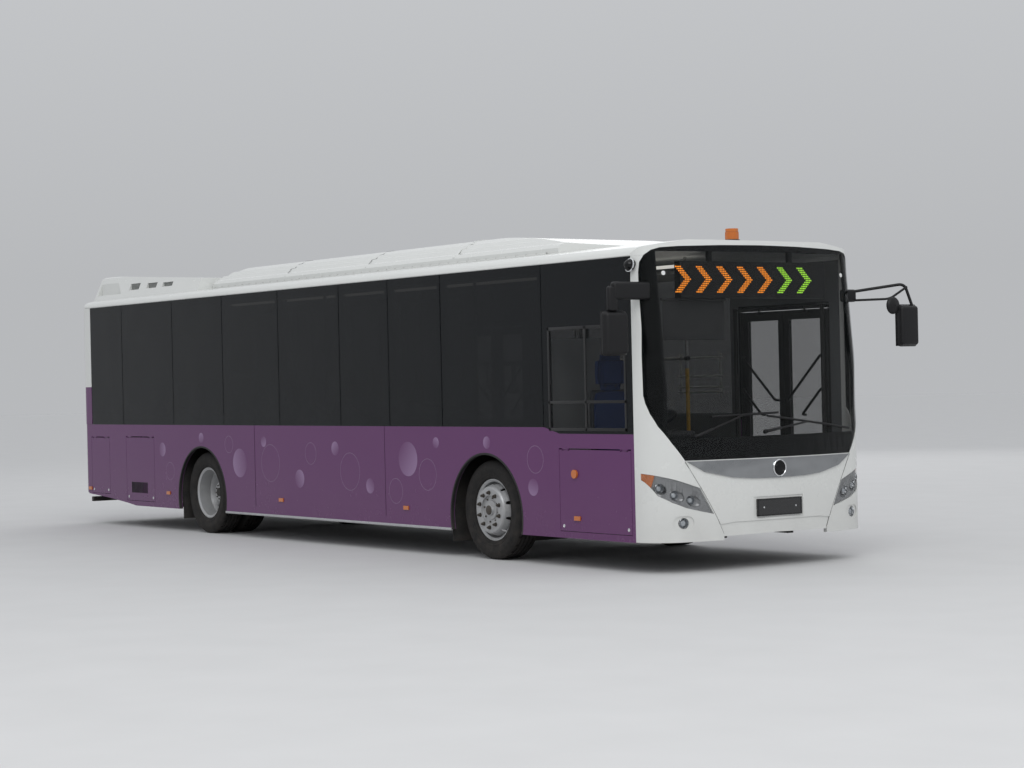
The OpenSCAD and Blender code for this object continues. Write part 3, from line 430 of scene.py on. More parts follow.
flank = abs(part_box("right_windows")[0].y)
ARCH_Z, ARCH_R, DOORS_X, JOINTS_X = 0.416, 0.606, (4.752, -0.105), (-1.36, 1.42)
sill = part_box("right_side")[0].z
axle_x = [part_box(n)[0].x / 2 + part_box(n)[1].x / 2 for n in ("front_tyre_right", "rear_tyres_right")]
RAIL_X = axle_x[1] + 0.59, axle_x[0] - 0.6
aluminium = surface("aluminium", (0.62, 0.63, 0.64), tone=0.8, scale=12, rough=(0.25, 0.4), metal=0.9,
                    slot="silver_rim")
sealant = surface("sealant", (0.045, 0.016, 0.048), rough=(0.5, 0.6), slot="purple_paint")
LIP = ((-0.01, -0.03), (-0.011, 0.001), (-0.006, 0.004), (0.006, 0.0035), (0.01, 0.0005), (0.01, -0.001),
       (0.001, -0.002), (0.001, -0.03), (-0.01, -0.03))
for hand, out in SIDES:
    lips = []
    for x in axle_x:
        lathe([(ARCH_R + r, d) for r, d in LIP], (x, out * flank, ARCH_Z), (0, out, 0), 128)
        lips.append(keep((0, 0, sill + 0.002), (0, 0, 1)))
    unite(lips, "arch_lips_" + hand, rubber)
    bar((RAIL_X[0], out * flank - 0.006, sill - 0.01), (RAIL_X[1], out * flank + 0.006, sill + 0.016))
    hand_over("sill_rail_" + hand, aluminium)
    unite([bar((x - 0.0012, out * flank - 0.003, 0.36), (x + 0.0012, out * flank + 0.0005, WAIST), 0.0004, 1)
           for x in JOINTS_X], "panel_joints_" + hand, sealant)
chrome = surface("chrome", (0.78, 0.79, 0.8), tone=0.94, scale=5, rough=(0.05, 0.1), metal=1.0)
LOCK = [(0.016, 0.0), (0.016, 0.003), (0.013, 0.0045), (0.01, 0.0045), (0.009, 0.003), (0.0005, 0.003)]
for flap in ("locker_flap", "rear_flap", "vent_flap"):
    low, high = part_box(flap)
    locks = []
    for x in (low.x + 0.055, high.x - 0.045):
        z = low.z + 0.045
        locks += [lathe(LOCK, (x, -flank, z), (0, -1, 0), 24),
                  bar((x - 0.0015, -flank - 0.0042, z - 0.006), (x + 0.0015, -flank - 0.002, z + 0.006), 0.0004)]
    unite(locks, flap + "_locks", chrome, flap + "_body")
# The inlet's bars are painted shade: purple-tinted near-black strips laid where the inlet's slits lie in shadow.
SLOTS, VENT_START, VENT_SHARE = 13, 0.19, 0.56
pitch = VENT_SHARE * (high.x - low.x) / SLOTS
first = low.x + VENT_START * (high.x - low.x)
edges = [(first - 0.012, first + 0.001), (first + SLOTS * pitch - 0.0168, first + SLOTS * pitch - 0.004)]
edges += [(first + k * pitch + 0.017, first + (k + 1) * pitch + 0.001) for k in range(SLOTS - 1)]
unite([bar((x0, -flank - 0.002, low.z + 0.1), (x1, -flank + 0.003, low.z + 0.232), 0.0012) for x0, x1 in edges],
      "vent_slit_shade_bars", surface("vent_slit_painted_shade", (0.016, 0.01, 0.017), rough=(0.4, 0.5), shine=0.3, slot="black_plastic"),
      "vent_flap_body")


# The livery on the purple band: stick-on film in pale lilac, plain discs that fade into the purple and
# thin rings beside them, laid out afresh clear of the flaps and lamps.
def faded(name, colour):
    """Film whose colour fades into the purple paint by the mesh's own 'fade' values."""
    look = surface(name, colour, tone=0.93, scale=1.3, rough=(0.18, 0.28), coat=0.15, shine=0.3,
                   slot="purple_paint")
    fade = put(look, "Attribute", {}, attribute_name="fade").outputs["Fac"]
    repaint(look, calc(look, "SUBTRACT", 1.0, fade), PURPLE)
    return look


def beside_doors(out, spots):
    """Those of the numbered spots (x, z, radius) that a side has room for."""
    return [(k, *spot) for k, spot in enumerate(spots)
            if out < 0 or min(abs(spot[0] - d) for d in DOORS_X) >= DOOR_ROOM + spot[2]]


film = faded("lilac_film", (0.3, 0.19, 0.34))
outline_film = surface("outline_film", (0.24, 0.14, 0.26), rough=(0.2, 0.3), slot="purple_paint")
DOOR_ROOM = 0.75
DISCS = ((-3.7, 0.98, 0.085), (-2.67, 1.13, 0.06), (-1.72, 0.85, 0.165), (-1.15, 1.1, 0.06),
         (-0.35, 0.7, 0.1), (0.42, 1.04, 0.075), (1.12, 0.66, 0.08), (1.86, 0.95, 0.175), (2.38, 1.12, 0.055),
         (3.27, 1.13, 0.06), (4.02, 0.72, 0.08))
RINGS = ((-3.5, 0.72, 0.11), (-1.98, 1.06, 0.1), (-1.0, 0.86, 0.21), (-0.1, 0.98, 0.12), (0.72, 0.8, 0.2),
         (1.62, 0.62, 0.13), (2.22, 0.8, 0.16), (4.06, 0.98, 0.13))
for hand, out in SIDES:
    discs = []
    for k, x, z, r in beside_doors(out, DISCS):
        bpy.ops.mesh.primitive_circle_add(vertices=64, radius=r, fill_type="TRIFAN",
                                          location=(x, out * (flank + 0.0002), z), rotation=(math.pi / 2, 0, 0))
        bpy.ops.object.transform_apply()
        disc = bpy.context.object
        edit()
        bpy.ops.mesh.extrude_region_move(TRANSFORM_OT_translate={"value": (0, out * 0.0004, 0)})
        close(turn=True)
        fade = disc.data.attributes.new("fade", "FLOAT", "POINT")
        lean = Vector((math.cos(k * 1.7), 0, math.sin(k * 1.7)))
        for v in disc.data.vertices:
            fade.data[v.index].value = 0.5 + 0.42 * (v.co - Vector((x, v.co.y, z))).dot(lean) / r
        discs.append(disc)
    unite(discs, "livery_discs_" + hand, film)
    unite([lathe([(r, 0.0), (r, 0.0007), (r - 0.005, 0.0007), (r - 0.005, 0.0), (r, 0.0)],
                 (x, out * flank, z), (0, out, 0)) for _, x, z, r in beside_doors(out, RINGS)],
          "livery_rings_" + hand, outline_film)


# The side glass: dark tinted panes bonded edge to edge over the black frame. The driver's window at
# the front right is clearer, with a black sliding frame in its lower part and a blanked upper part.
dark_glass = surface("dark_glass", (0.004, 0.0055, 0.007), tone=0.9, scale=0.9, rough=(0.03, 0.06), clear=0.72,
                     shine=0.24)
emboss(dark_glass, noise(dark_glass, Scale=1.6, Detail=1.0), 0.012)
dress(dark_glass, "left_windows", "rear_window")
door_glass = dark_glass.copy()
door_glass.name = "door_glass"
feed(door_glass, {"Alpha": 0.35})
dress(door_glass, "front_glass_a", "front_glass_b", "middle_glass_a", "middle_glass_b")
WINDOW = Vector((4.294, 0, 1.249)), Vector((5.452, 0, 2.2))
side_glass = dark_glass.copy()
side_glass.name = "side_glass"
inside = 1.0
for axis, limit, operation in (("X", WINDOW[0].x, "GREATER_THAN"), ("X", WINDOW[1].x, "LESS_THAN"),
                               ("Z", WINDOW[0].z, "GREATER_THAN"), ("Z", WINDOW[1].z, "LESS_THAN")):
    inside = calc(side_glass, "MULTIPLY", inside, calc(side_glass, operation, along(side_glass, axis), limit))
feed(side_glass, {"Alpha": ramp(side_glass, inside, (0.88, 0.3))})
dress(side_glass, "right_windows")
black_aluminium = surface("black_aluminium", (0.018, 0.018, 0.019), rough=(0.3, 0.42), metal=0.3)


def edging(left, bottom, right, top, width):
    """The corners of the four strips that line a rectangle."""
    return [((left, bottom), (right, bottom + width)), ((left, top - width), (right, top)),
            ((left, bottom), (left + width, top)), ((right - width, bottom), (right, top))]


low, high = WINDOW
bars = [((low.x, 1.498), (high.x, 1.524)), ((4.848, low.z), (4.876, high.z)), ((4.9, low.z + 0.045), (4.915, 1.49))]
face_y = -flank - 0.0005
unite([bar((a[0], face_y - 0.004, a[1]), (b[0], face_y + 0.003, b[1]), 0.002)
       for a, b in edging(low.x, low.z, high.x, high.z, 0.028) + bars], "driver_window_frame", black_aluminium)
bar((low.x - 0.03, -flank + 0.01, high.z), (high.x + 0.03, -flank + 0.014, 2.74), 0.001)
hand_over("driver_window_blank", black_aluminium)


# The rear corners: white moulded covers, purple at their foot, glued over the ends of the side glass
# and round the corner posts.
def thicken(piece, thickness, offset):
    """Gives a sheet a thickness, outwards (1) or inwards (-1)."""
    sheet = piece.modifiers.new("thickness", "SOLIDIFY")
    sheet.thickness, sheet.offset = thickness, offset
    bpy.ops.object.modifier_apply(modifier=sheet.name)
    return piece


CORNER_R, COVER_X, COLUMNS, TURN = 0.14, 0.15, 3, 10
corner_x, corner_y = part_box("rear_end")[0].x + CORNER_R, flank - CORNER_R
low, high = WAIST + 0.001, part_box("right_windows")[1].z + 0.003
plan = [(corner_x + COVER_X - k * 0.05, flank, 90) for k in range(COLUMNS)]
plan += [(corner_x, corner_y, 90 - TURN * k) for k in range(10)]
covers = []
for out in (-1, 1):
    bpy.ops.mesh.primitive_grid_add(x_subdivisions=len(plan) - 1, y_subdivisions=12, size=1)
    cover = bpy.context.object
    for v in cover.data.vertices:
        x, y, angle = plan[round((v.co.x + 0.5) * (len(plan) - 1))]
        reach, lean = (CORNER_R if y < flank else 0), math.radians(angle)
        v.co = (x - reach * math.cos(lean), out * (y + reach * math.sin(lean)), low + (v.co.y + 0.5) * (high - low))
    cover.data.update()
    if cover.data.polygons[0].normal.y * out < 0:
        cover.data.flip_normals()
    covers.append(thicken(cover, 0.003, 1))
unite(covers, "rear_corner_covers", rear_paint)


# The front end: moulded white panels with a dark seam between the middle and the corners, a bonded
# windscreen over a black surround, and plain discs that hide the upper fixing points of the mask.
def hit(names, start, direction):
    """Where a ray first meets one of these CAD nodes, and the surface's normal there."""
    found = [solids[n].ray_cast(start, direction) for n in names]
    found = [(place, normal) for ok, place, normal, _ in found if ok]
    return min(found, key=lambda f: (f[0] - Vector(start)).length) if found else None


def on_front(y, z, proud=0.0, names=("front_panel", "front_corners", "windscreen")):
    """A point standing proud of the front's outer surface, and the normal; joints are bridged."""
    for aside in (0, -0.006, 0.006, -0.02, 0.02):
        met = hit(names, (8, y + aside, z), (-1, 0, 0))
        if met:
            return met[0] - Vector((0, aside, 0)) + met[1] * proud, met[1]


clear_glass = surface("clear_glass", (0.01, 0.012, 0.012), rough=(0.02, 0.04), clear=0.25, shine=0.26)
dress(clear_glass, "windscreen")
black_gloss = surface("black_gloss", (0.004, 0.0045, 0.005), rough=(0.08, 0.14), shine=0.3)
dress(black_gloss, "front_mask")


def strip(points, width, thick, proud, steps=10):
    """A flat strip along points (y, z) on the front, following its curved surface over open joints."""
    rows = []
    for (y1, z1), (y2, z2) in zip(points, points[1:]):
        rows += [(y1 + (y2 - y1) * k / steps, z1 + (z2 - z1) * k / steps) for k in range(steps)]
    rows.append(points[-1])
    bpy.ops.mesh.primitive_grid_add(x_subdivisions=1, y_subdivisions=len(rows) - 1, size=1)
    piece = bpy.context.object
    verts = sorted(piece.data.vertices, key=lambda v: (round(v.co.y, 5), v.co.x))
    for k, (y, z) in enumerate(rows):
        y0, z0 = rows[max(k - 1, 0)]
        y1, z1 = rows[min(k + 1, len(rows) - 1)]
        across = Vector((0, -(z1 - z0), y1 - y0)).normalized() * width / 2
        for v, sign in ((verts[2 * k], -1), (verts[2 * k + 1], 1)):
            spot = Vector((0, y, z)) + across * sign
            beside = [on_front(spot.y + aside, spot.z, proud)[0].x for aside in (-0.01, 0, 0.01)]
            v.co = (sorted(beside)[1], spot.y, spot.z)
    edit()
    close(turn=True)
    if piece.data.polygons[0].normal.x < 0:
        piece.data.flip_normals()
    return thicken(piece, thick, -1)


SEAM = ((0.984, 0.975), (0.835, 0.742), (0.75, 0.6), (0.68, 0.474), (0.64, 0.392), (0.612, 0.33))
unite([strip([(sign * (y + 0.002), z) for y, z in SEAM], 0.004, 0.002, 0.0004) for sign in (-1, 1)],
      "front_seams", rubber)
spots = [on_front(sign * 1.064, 2.63) for sign in (-1, 1)]
unite([rod(place, place + normal * 0.001, 0.02, 32) for place, normal in spots], "screen_dots", white)


# The headlamps: a silver plastic housing with three hollows in a row, each with a chrome bowl and a
# round lens, an amber reflector at the outer tip, and a clear moulded cover over all of it.
def alone(piece):
    """Selects this piece only and makes it the active one."""
    bpy.ops.object.select_all(action="DESELECT")
    piece.select_set(True)
    bpy.context.view_layer.objects.active = piece


def lamp_skin(inward, thick):
    """A copy of the headlamps' faces that look forwards or outwards, moved inwards and given a thickness."""
    skin = solids["headlamps"].copy()
    skin.data = skin.data.copy()
    bpy.context.scene.collection.objects.link(skin)
    alone(skin)
    edit()
    bpy.ops.mesh.remove_doubles(threshold=0.00002)
    close()

    def hidden(face):
        outward = Vector((1, math.copysign(0.6, face.center.y), 0)).normalized()
        covered = skin.ray_cast(face.center + face.normal * 0.001, outward)[0]
        return covered or face.normal.dot(outward) < 0.25

    pick(hidden)
    bpy.ops.mesh.delete(type="FACE")
    close()
    thicken(skin, thick, -1)
    for v in skin.data.vertices:
        v.co -= Vector((1, math.copysign(0.5, v.co.y), 0)).normalized() * inward
    return skin


def carve(piece, tools):
    """Cuts the tools out of a piece and deletes them."""
    for tool in tools:
        cut = piece.modifiers.new("cut", "BOOLEAN")
        cut.operation = "DIFFERENCE"
        cut.object = tool
        bpy.context.view_layer.objects.active = piece
        bpy.ops.object.modifier_apply(modifier=cut.name)
        bpy.data.objects.remove(tool)
    alone(piece)
    return piece


BOWLS = ((1.18, 0.748), (1.078, 0.687), (0.93, 0.638))
lamp_grey = surface("lamp_housing", (0.32, 0.325, 0.33), tone=0.8, scale=14, rough=(0.25, 0.38), metal=0.5,
                    slot="grey_plastic")
reflector = surface("reflector", (0.55, 0.56, 0.57), tone=0.92, scale=20, rough=(0.06, 0.12), metal=1.0,
                    slot="chrome")
lamp_cover = surface("lamp_cover", (0.2, 0.21, 0.22), rough=(0.02, 0.05), clear=0.1, slot="lamp_clear")
lamp_glass = surface("lamp_glass", (0.42, 0.45, 0.48), tone=0.9, scale=25, rough=(0.02, 0.05), coat=1.0,
                     slot="lamp_clear")
amber = surface("lamp_amber", (0.62, 0.16, 0.015), tone=0.75, scale=16, rough=(0.1, 0.2), coat=0.8)
BOWL = [(0.0415, -0.012), (0.0425, 0.0), (0.0425, 0.006), (0.04, 0.008), (0.0385, 0.004), (0.036, -0.006),
        (0.028, -0.02), (0.016, -0.028), (0.0005, -0.03)]
LENS = [(0.0235, -0.024), (0.0235, -0.01), (0.0205, -0.003), (0.013, 0.002), (0.0005, 0.004)]
FOG_BOWL = [(0.046, -0.012), (0.046, 0.016), (0.043, 0.019), (0.041, 0.012), (0.034, -0.008), (0.018, -0.02),
            (0.0005, -0.022)]
FOG_LENS = [(0.028, -0.016), (0.028, -0.002), (0.022, 0.006), (0.01, 0.01), (0.0005, 0.011)]


def on_lamp(y, z):
    """A point on the headlamps' outer surface."""
    return on_front(y, z, names=["headlamps"])[0]


bowls, lenses, tips, housings = [], [], [], []
for sign in (-1, 1):
    housing = lamp_skin(0.014, 0.05)
    keep((0, 0, 0), (0, sign, 0))
    keep((0, 0, 0.505), (0, 0, 1))
    tools = []
    for y, z in BOWLS:
        place = on_lamp(sign * y, z)
        ahead = Vector((1, sign * 0.25, 0.02)).normalized()
        sloping = Matrix.Rotation(sign * math.radians(23), 4, "X")
        bpy.ops.mesh.primitive_uv_sphere_add(segments=48, ring_count=24, radius=1)
        hollow = bpy.context.object
        middle = place - ahead * 0.01 - Vector((0, sign * 0.026, 0.011))
        spread = Matrix.Diagonal((0.032, 0.074, 0.047, 1))
        hollow.data.transform(Matrix.Translation(middle) @ ahead.to_track_quat("X", "Z").to_matrix().to_4x4()
                              @ sloping @ spread)
        tools += [hollow, rod(place - ahead * 0.12, place + ahead * 0.02, 0.0415, 48)]
        seat = place - ahead * 0.03
        bowls.append(lathe(BOWL, seat, ahead, 48))
        lenses.append(lathe(LENS, seat, ahead, 32))
    housings.append(carve(housing, tools))
    tips.append(lamp_skin(0.003, 0.01))
    keep(on_lamp(sign * 1.228, 0.76), (-0.6, sign, 0.35))
    ahead = Vector((1, sign * 0.2, 0)).normalized()
    seat = on_lamp(sign * 1.005, 0.44) - ahead * 0.022
    bowls.append(lathe(FOG_BOWL, seat, ahead, 48))
    lenses.append(lathe(FOG_LENS, seat, ahead, 32))
unite(housings, "lamp_housings", lamp_grey)
unite(bowls, "lamp_bowls", reflector)
unite(lenses, "lamp_lenses", lamp_glass)
unite(tips, "lamp_reflectors", amber)
lamp_skin(0.0, 0.002)
hand_over("lamp_covers", lamp_cover, instead_of=["headlamps"])
dress(amber, "markers", "flap_lamps")


# The chromed grille strip, darkened to a mid grey as a painted reflection of darker surroundings, with a plain black
# disc in a chrome ring at its middle, and the number plates: blank pressed plates in thin black frames with two
# screws each.
# Painted reflection: the strip's chrome is a mid grey, darker than the other chrome, standing for the dark
# surroundings it would mirror.
chrome_painted_dark_reflection = surface("chrome_painted_dark_reflection", (0.36, 0.37, 0.38), tone=0.9, scale=5, rough=(0.05, 0.1), metal=1.0,
                       slot="chrome")
emboss(chrome_painted_dark_reflection, noise(chrome_painted_dark_reflection, Scale=3.0), 0.02)
dress(chrome_painted_dark_reflection, "chrome_strip")
boss = on_front(0.0, 0.888, names=["chrome_strip"])[0]
lathe([(0.078, -0.003), (0.078, 0.006), (0.074, 0.01), (0.069, 0.01), (0.066, 0.006), (0.066, 0.001)], boss,
      (1, 0, 0), 64)
hand_over("strip_boss_ring", chrome)
lathe([(0.066, 0.0), (0.064, 0.004), (0.05, 0.006), (0.047, 0.0035), (0.044, 0.006), (0.024, 0.008),
       (0.0005, 0.0085)], boss, (1, 0, 0), 64)
hand_over("strip_boss", black_gloss)
plate_black = surface("plate_black", (0.012, 0.012, 0.013), rough=(0.22, 0.3), coat=0.4)
dress(plate_black, "number_plates")
borders, screws = [], []
low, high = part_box("number_plates")
for x, out, width, z0, z1 in ((high.x, 1, 0.262, 0.466, 0.62), (low.x, -1, 0.265, 0.44, 0.55)):
    borders += [bar((x - 0.004 * out, a[0], a[1]), (x + 0.003 * out, b[0], b[1]), 0.0015)
                for a, b in edging(-width, z0, width, z1, 0.012)]
    screws += [lathe([(0.008, 0.0), (0.008, 0.0015), (0.005, 0.003), (0.0005, 0.0035)], (x, y, (z0 + z1) / 2),
                     (out, 0, 0), 20) for y in (-0.19, 0.19)]
unite(borders, "plate_frames", black_aluminium)
unite(screws, "plate_screws", chrome)


# The wipers: on each pivot a cranked steel arm in black paint, and on the arm a blade with a black carrier
# over a rubber lip.
def pipe(points, radius, sides=6):
    """A round tube along a smooth path through these points."""
    path = bpy.data.curves.new("path", "CURVE")
    path.dimensions = "3D"
    path.bevel_depth = radius
    path.bevel_resolution = sides
    path.use_fill_caps = True
    line = path.splines.new("POLY")
    line.points.add(len(points) - 1)
    for p, spot in zip(line.points, points):
        p.co = (*spot, 1)
    tube = bpy.data.objects.new("path", path)
    bpy.context.scene.collection.objects.link(tube)
    alone(tube)
    bpy.ops.object.convert(target="MESH")
    return bpy.context.object


def rounded(points, radius, steps=6):
    """The same path with each inner corner rounded by an arc-like run of points."""
    points = [Vector(p) for p in points]
    path = [points[0]]
    for before, corner, after in zip(points, points[1:], points[2:]):
        a = corner + (before - corner).normalized() * radius
        b = corner + (after - corner).normalized() * radius
        for k in range(steps + 1):
            t = k / steps
            path.append(a.lerp(corner, t).lerp(corner.lerp(b, t), t))
    return path + [points[-1]]


black_plastic = surface("black_plastic", (0.009, 0.009, 0.01), scale=20, rough=(0.4, 0.55), shine=0.3,
                        relief=0.0003)
PIVOT = [(0.02, -0.004), (0.02, 0.01), (0.016, 0.02), (0.01, 0.024), (0.0005, 0.025)]
BLADE_STEPS = 14
wipers = []
for pivot, elbow, tip in (((-0.88, 1.195), (-0.38, 1.37), (0.02, 1.38)),
                          ((-0.14, 1.215), (0.38, 1.29), (0.96, 1.215))):
    base, normal = on_front(*pivot)
    joint = on_front(*elbow, 0.03)[0]
    wipers += [lathe(PIVOT, base, normal, 24),
               rod(base + normal * 0.02, base.lerp(joint, 0.34) + normal * 0.016, 0.016, 12, 0.002, 0.013),
               rod(base.lerp(joint, 0.32) + normal * 0.016, joint, 0.01, 12, 0.0015, 0.008)]
    start = Vector(elbow).lerp(Vector(tip), -0.85)
    run = [start.lerp(Vector(tip), k / BLADE_STEPS) for k in range(BLADE_STEPS + 1)]
    wipers += [pipe([on_front(p.x, p.y, proud)[0] for p in run], radius, sides)
               for proud, radius, sides in ((0.016, 0.01, 2), (0.004, 0.0035, 1))]
    for t in (0.3, 0.62):
        y, z = run[int(t * BLADE_STEPS)]
        wipers.append(rod(on_front(y, z, 0.014)[0], joint.lerp(on_front(y, z, 0.016)[0], 0.4), 0.004, 10))
unite(wipers, "wiper_arms", black_plastic, instead_of=["wipers"])


# The mirrors: black plastic heads with rounded corners on bent tube arms, glass facing backwards, and
# a small round wide-angle mirror on the left; each arm has a moulded foot on the windscreen pillar.
arm_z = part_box("mirrors")[1].z - 0.18
mirror_glass = surface("mirror_glass", (0.8, 0.82, 0.83), tone=0.97, rough=(0.01, 0.02), metal=1.0,
                       slot="chrome")
heads, glasses = [], []
for x0, x1, y0, y1, z0, z1 in ((5.64, 5.725, -1.7, -1.43, 1.912, 2.3), (5.945, 6.03, 1.55, 1.8, 1.955, 2.35)):
    head = bar((x0, y0, z0), (x1, y1, z1), 0.034, 5)
    for v in head.data.vertices:
        if v.co.x > x1 - 0.04:
            v.co.y += (0.5 * (y0 + y1) - v.co.y) * 0.1
            v.co.z += (0.5 * (z0 + z1) - v.co.z) * 0.06
    heads += [head, bar((x0 - 0.004, y0 + 0.006, z0 + 0.006), (x0 + 0.014, y1 - 0.006, z1 - 0.006), 0.004)]
    glasses.append(bar((x0 - 0.006, y0 + 0.02, z0 + 0.02), (x0 - 0.003, y1 - 0.02, z1 - 0.02), 0.001))
heads += [bar((5.64, -1.59, arm_z + 0.012), (5.715, -1.18, arm_z + 0.168), 0.028, 5),
          bar((5.648, -1.64, arm_z - 0.09), (5.706, -1.54, arm_z + 0.13), 0.024, 4),
          bar((5.6, 1.17, arm_z), (5.68, 1.325, arm_z + 0.118), 0.022, 4)]
for bend, radius, path in ((0.06, 0.014, ((5.64, 1.29, 0.095), (5.95, 1.68, 0.16), (5.985, 1.74, -0.05))),
                           (0.05, 0.011, ((5.64, 1.29, 0.015), (5.935, 1.5, 0.018), (5.965, 1.695, 0.13)))):
    heads.append(pipe(rounded([(x, y, arm_z + z) for x, y, z in path], bend), radius))
wide = Vector((5.975, 1.5, arm_z - 0.045))
heads += [lathe([(0.004, 0.03), (0.06, 0.024), (0.078, 0.008), (0.082, -0.006), (0.076, -0.012), (0.0005, -0.012)],
                wide, (1, 0, 0), 40), rod(wide, (5.935, 1.5, arm_z + 0.018), 0.009, 16)]
glasses.append(lathe([(0.074, -0.0125), (0.06, -0.017), (0.03, -0.021), (0.0005, -0.022)], wide, (1, 0, 0), 40))
unite(heads, "mirror_heads", black_plastic, instead_of=["mirrors"], smooth=40)
unite(glasses, "mirror_glasses", mirror_glass, smooth=40)


# The camera on the right pillar: a black plastic ball, cut off at its back, in a plated chrome ring, on a
# short moulded foot that is glued to the pillar.
ball = Vector((5.565, -1.3, 2.705))
bpy.ops.mesh.primitive_uv_sphere_add(segments=32, ring_count=20, radius=0.052, location=ball)
bpy.ops.object.transform_apply()
globe = keep(ball + Vector((0, 0.03, 0)), (0, -1, 0.2))
unite([globe, rod(ball + Vector((0, 0.01, 0.004)), ball + Vector((0, 0.075, 0.02)), 0.034, 24, 0.004)],
      "pillar_camera", black_gloss)
lathe([(0.054, -0.006), (0.06, -0.004), (0.061, 0.004), (0.055, 0.007), (0.05, 0.004), (0.05, -0.004),
       (0.054, -0.006)], ball, (0, -1, 0.2), 40)
hand_over("camera_ring", chrome)


# The destination display behind the top of the screen: a black box whose lamps show a plain pattern of
# chevrons, and a dark tinted sun blind below it on the driver's side.
def glowing(look, colour, strength):
    """Makes a finish give off light."""
    feed(look, {"Emission Color": (*colour, 1), "Emission Strength": strength})
    return look


low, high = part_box("destination_sign")
dress(surface("display_black", (0.01, 0.01, 0.011), rough=(0.3, 0.4), slot="black_plastic"), "destination_sign")
PITCH, HALF_ROWS, CHEVRON, STROKE = 0.0185, 6, 13, 4
face_x, middle_z = high.x + 0.001, low.z + 0.1625
TEXTS = (("amber", (1.0, 0.3, 0.02), range(-3, 2)), ("green", (0.35, 0.75, 0.05), range(2, 4)))
for name, colour, chevrons in TEXTS:
    spots = []
    for k in chevrons:
        for row in range(-HALF_ROWS, HALF_ROWS + 1):
            for dot in range(STROKE):
                column = (k - 0.35) * CHEVRON + dot - abs(row)
                spots.append(Matrix.Translation((0, column * PITCH, row * PITCH)))
    repeat(rod((face_x - 0.002, 0, middle_z), (face_x + 0.001, 0, middle_z), 0.0066, 8), spots)
    led = surface("led_" + name, colour, tone=0.8, scale=40, slot="lamp_amber")
    hand_over("display_lamps_" + name, glowing(led, colour, 1.6))
unite([bar((5.64, -1.0, 2.05), (5.645, -0.3, 2.4), 0.002),
       rod((5.642, -1.02, 2.405), (5.642, -0.28, 2.405), 0.016, 16, 0.003),
       rod((5.642, -1.0, 2.05), (5.642, -0.3, 2.05), 0.007, 12)], "sun_blind",
      surface("sun_blind", (0.05, 0.05, 0.052), rough=(0.4, 0.5), clear=0.92, slot="black_plastic"))


# The roof: a drip rail over each side's glass, the climate unit's moulded shroud with its flanges, rows of
# screws, cross joints and smooth front cover, the pod over the tail with slatted vents, and a beacon.
def on_roof(x, y, proud=0.0):
    """A point standing proud of the roof and what is on it."""
    place, normal = hit(("roof", "air_conditioner", "roof_pod", "front_mask", "windscreen"), (x, y, 4), (0, 0, -1))
    return place + normal * proud


dress(white, "air_conditioner", "roof_pod")
roof_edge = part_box("left_windows")[1].z
side_start, side_end = (corner.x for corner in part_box("left_side"))
unite([bar((side_start, out * flank - 0.006, roof_edge + 0.004), (side_end, out * flank + 0.006, roof_edge + 0.016))
       for out in (-1, 1)], "drip_rails", white)
low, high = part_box("air_conditioner")
SCREWS, FLANGE_Y, SCREW_Y = 41, (0.915, 0.958), 0.945
run = [low.x + 0.1 + k * (high.x - 0.55 - low.x) / (SCREWS - 1) for k in range(SCREWS)]
screws, flanges = [], []
for out in (-1, 1):
    near, far = sorted(out * y for y in FLANGE_Y)
    top_z = on_roof(0, out * FLANGE_Y[1]).z + 0.012
    flanges.append(bar((run[0], near, on_roof(0, out * 0.938).z - 0.003), (run[-1], far, top_z)))
    screws += [Matrix.Translation((x, out * SCREW_Y, top_z)) for x in run]
unite(flanges, "shroud_flanges", white)
repeat(lathe([(0.008, -0.001), (0.008, 0.002), (0.005, 0.004), (0.0005, 0.0045)], (0, 0, 0), (0, 0, 1), 12), screws)
hand_over("shroud_screws", nut_steel)


def over_roof(x, width, thick, half=0.925, steps=40):
    """A strip laid across the roof machines at one place along the bus."""
    bpy.ops.mesh.primitive_grid_add(x_subdivisions=1, y_subdivisions=steps, size=1)
    piece = bpy.context.object
    for v in piece.data.vertices:
        v.co = on_roof(x + v.co.x * width, v.co.y * 2 * half, 0.0004)
    return thicken(piece, thick, 1)


JOINTS, COVER_EDGE = (-1.2, 0.55), 2.25
unite([over_roof(x, 0.006, 0.002) for x in JOINTS], "shroud_joints", rubber)
over_roof(COVER_EDGE, 0.045, 0.007)
hand_over("cover_edge", white)


def slat(low, high, edge, place, angle, axis):
    """A thin bar made at the origin, turned about an axis and moved to its place."""
    piece = bar(low, high, edge, 1)
    piece.data.transform(Matrix.Translation(place) @ Matrix.Rotation(angle, 4, axis))
    return piece


low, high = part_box("roof_pod")
POD_FOOT, POD_Y, SLATS, LEAN = 2.985, 1.036, 4, 0.7
slats = []
for share in (0.384, 0.55, 0.699):
    x = low.x + share * (high.x - low.x)
    top_z = POD_FOOT + 0.114 - 0.088 * share
    slats += [slat((x - 0.15, -0.004, -0.014), (x + 0.13, 0.004, 0.014), 0.002,
                   (0, out * POD_Y, POD_FOOT + (top_z - POD_FOOT) * (k + 0.6) / 4.4), out * -LEAN, "X")
              for out in (-1, 1) for k in range(SLATS)]
unite(slats, "pod_slats", surface("slat_grey", (0.3, 0.31, 0.3), rough=(0.4, 0.5), slot="grey_plastic"))
beacon = Vector((5.44, 0, on_roof(5.44, 0.075).z))
unite([lathe(outline, beacon, (0, 0, 1), 40) for outline in
       ([(0.076, -0.012), (0.076, 0.01), (0.07, 0.016), (0.0615, 0.017)],
        [(0.0615, 0.0885), (0.05, 0.094), (0.0005, 0.096)])], "beacon_base", black_plastic)
rib = beacon + Vector((0.06, 0, 0.018)), beacon + Vector((0.06, 0, 0.086))
repeat(rod(*rib, 0.0025, 8), about(beacon, "Z", 24))
hand_over("beacon_ribs", amber)


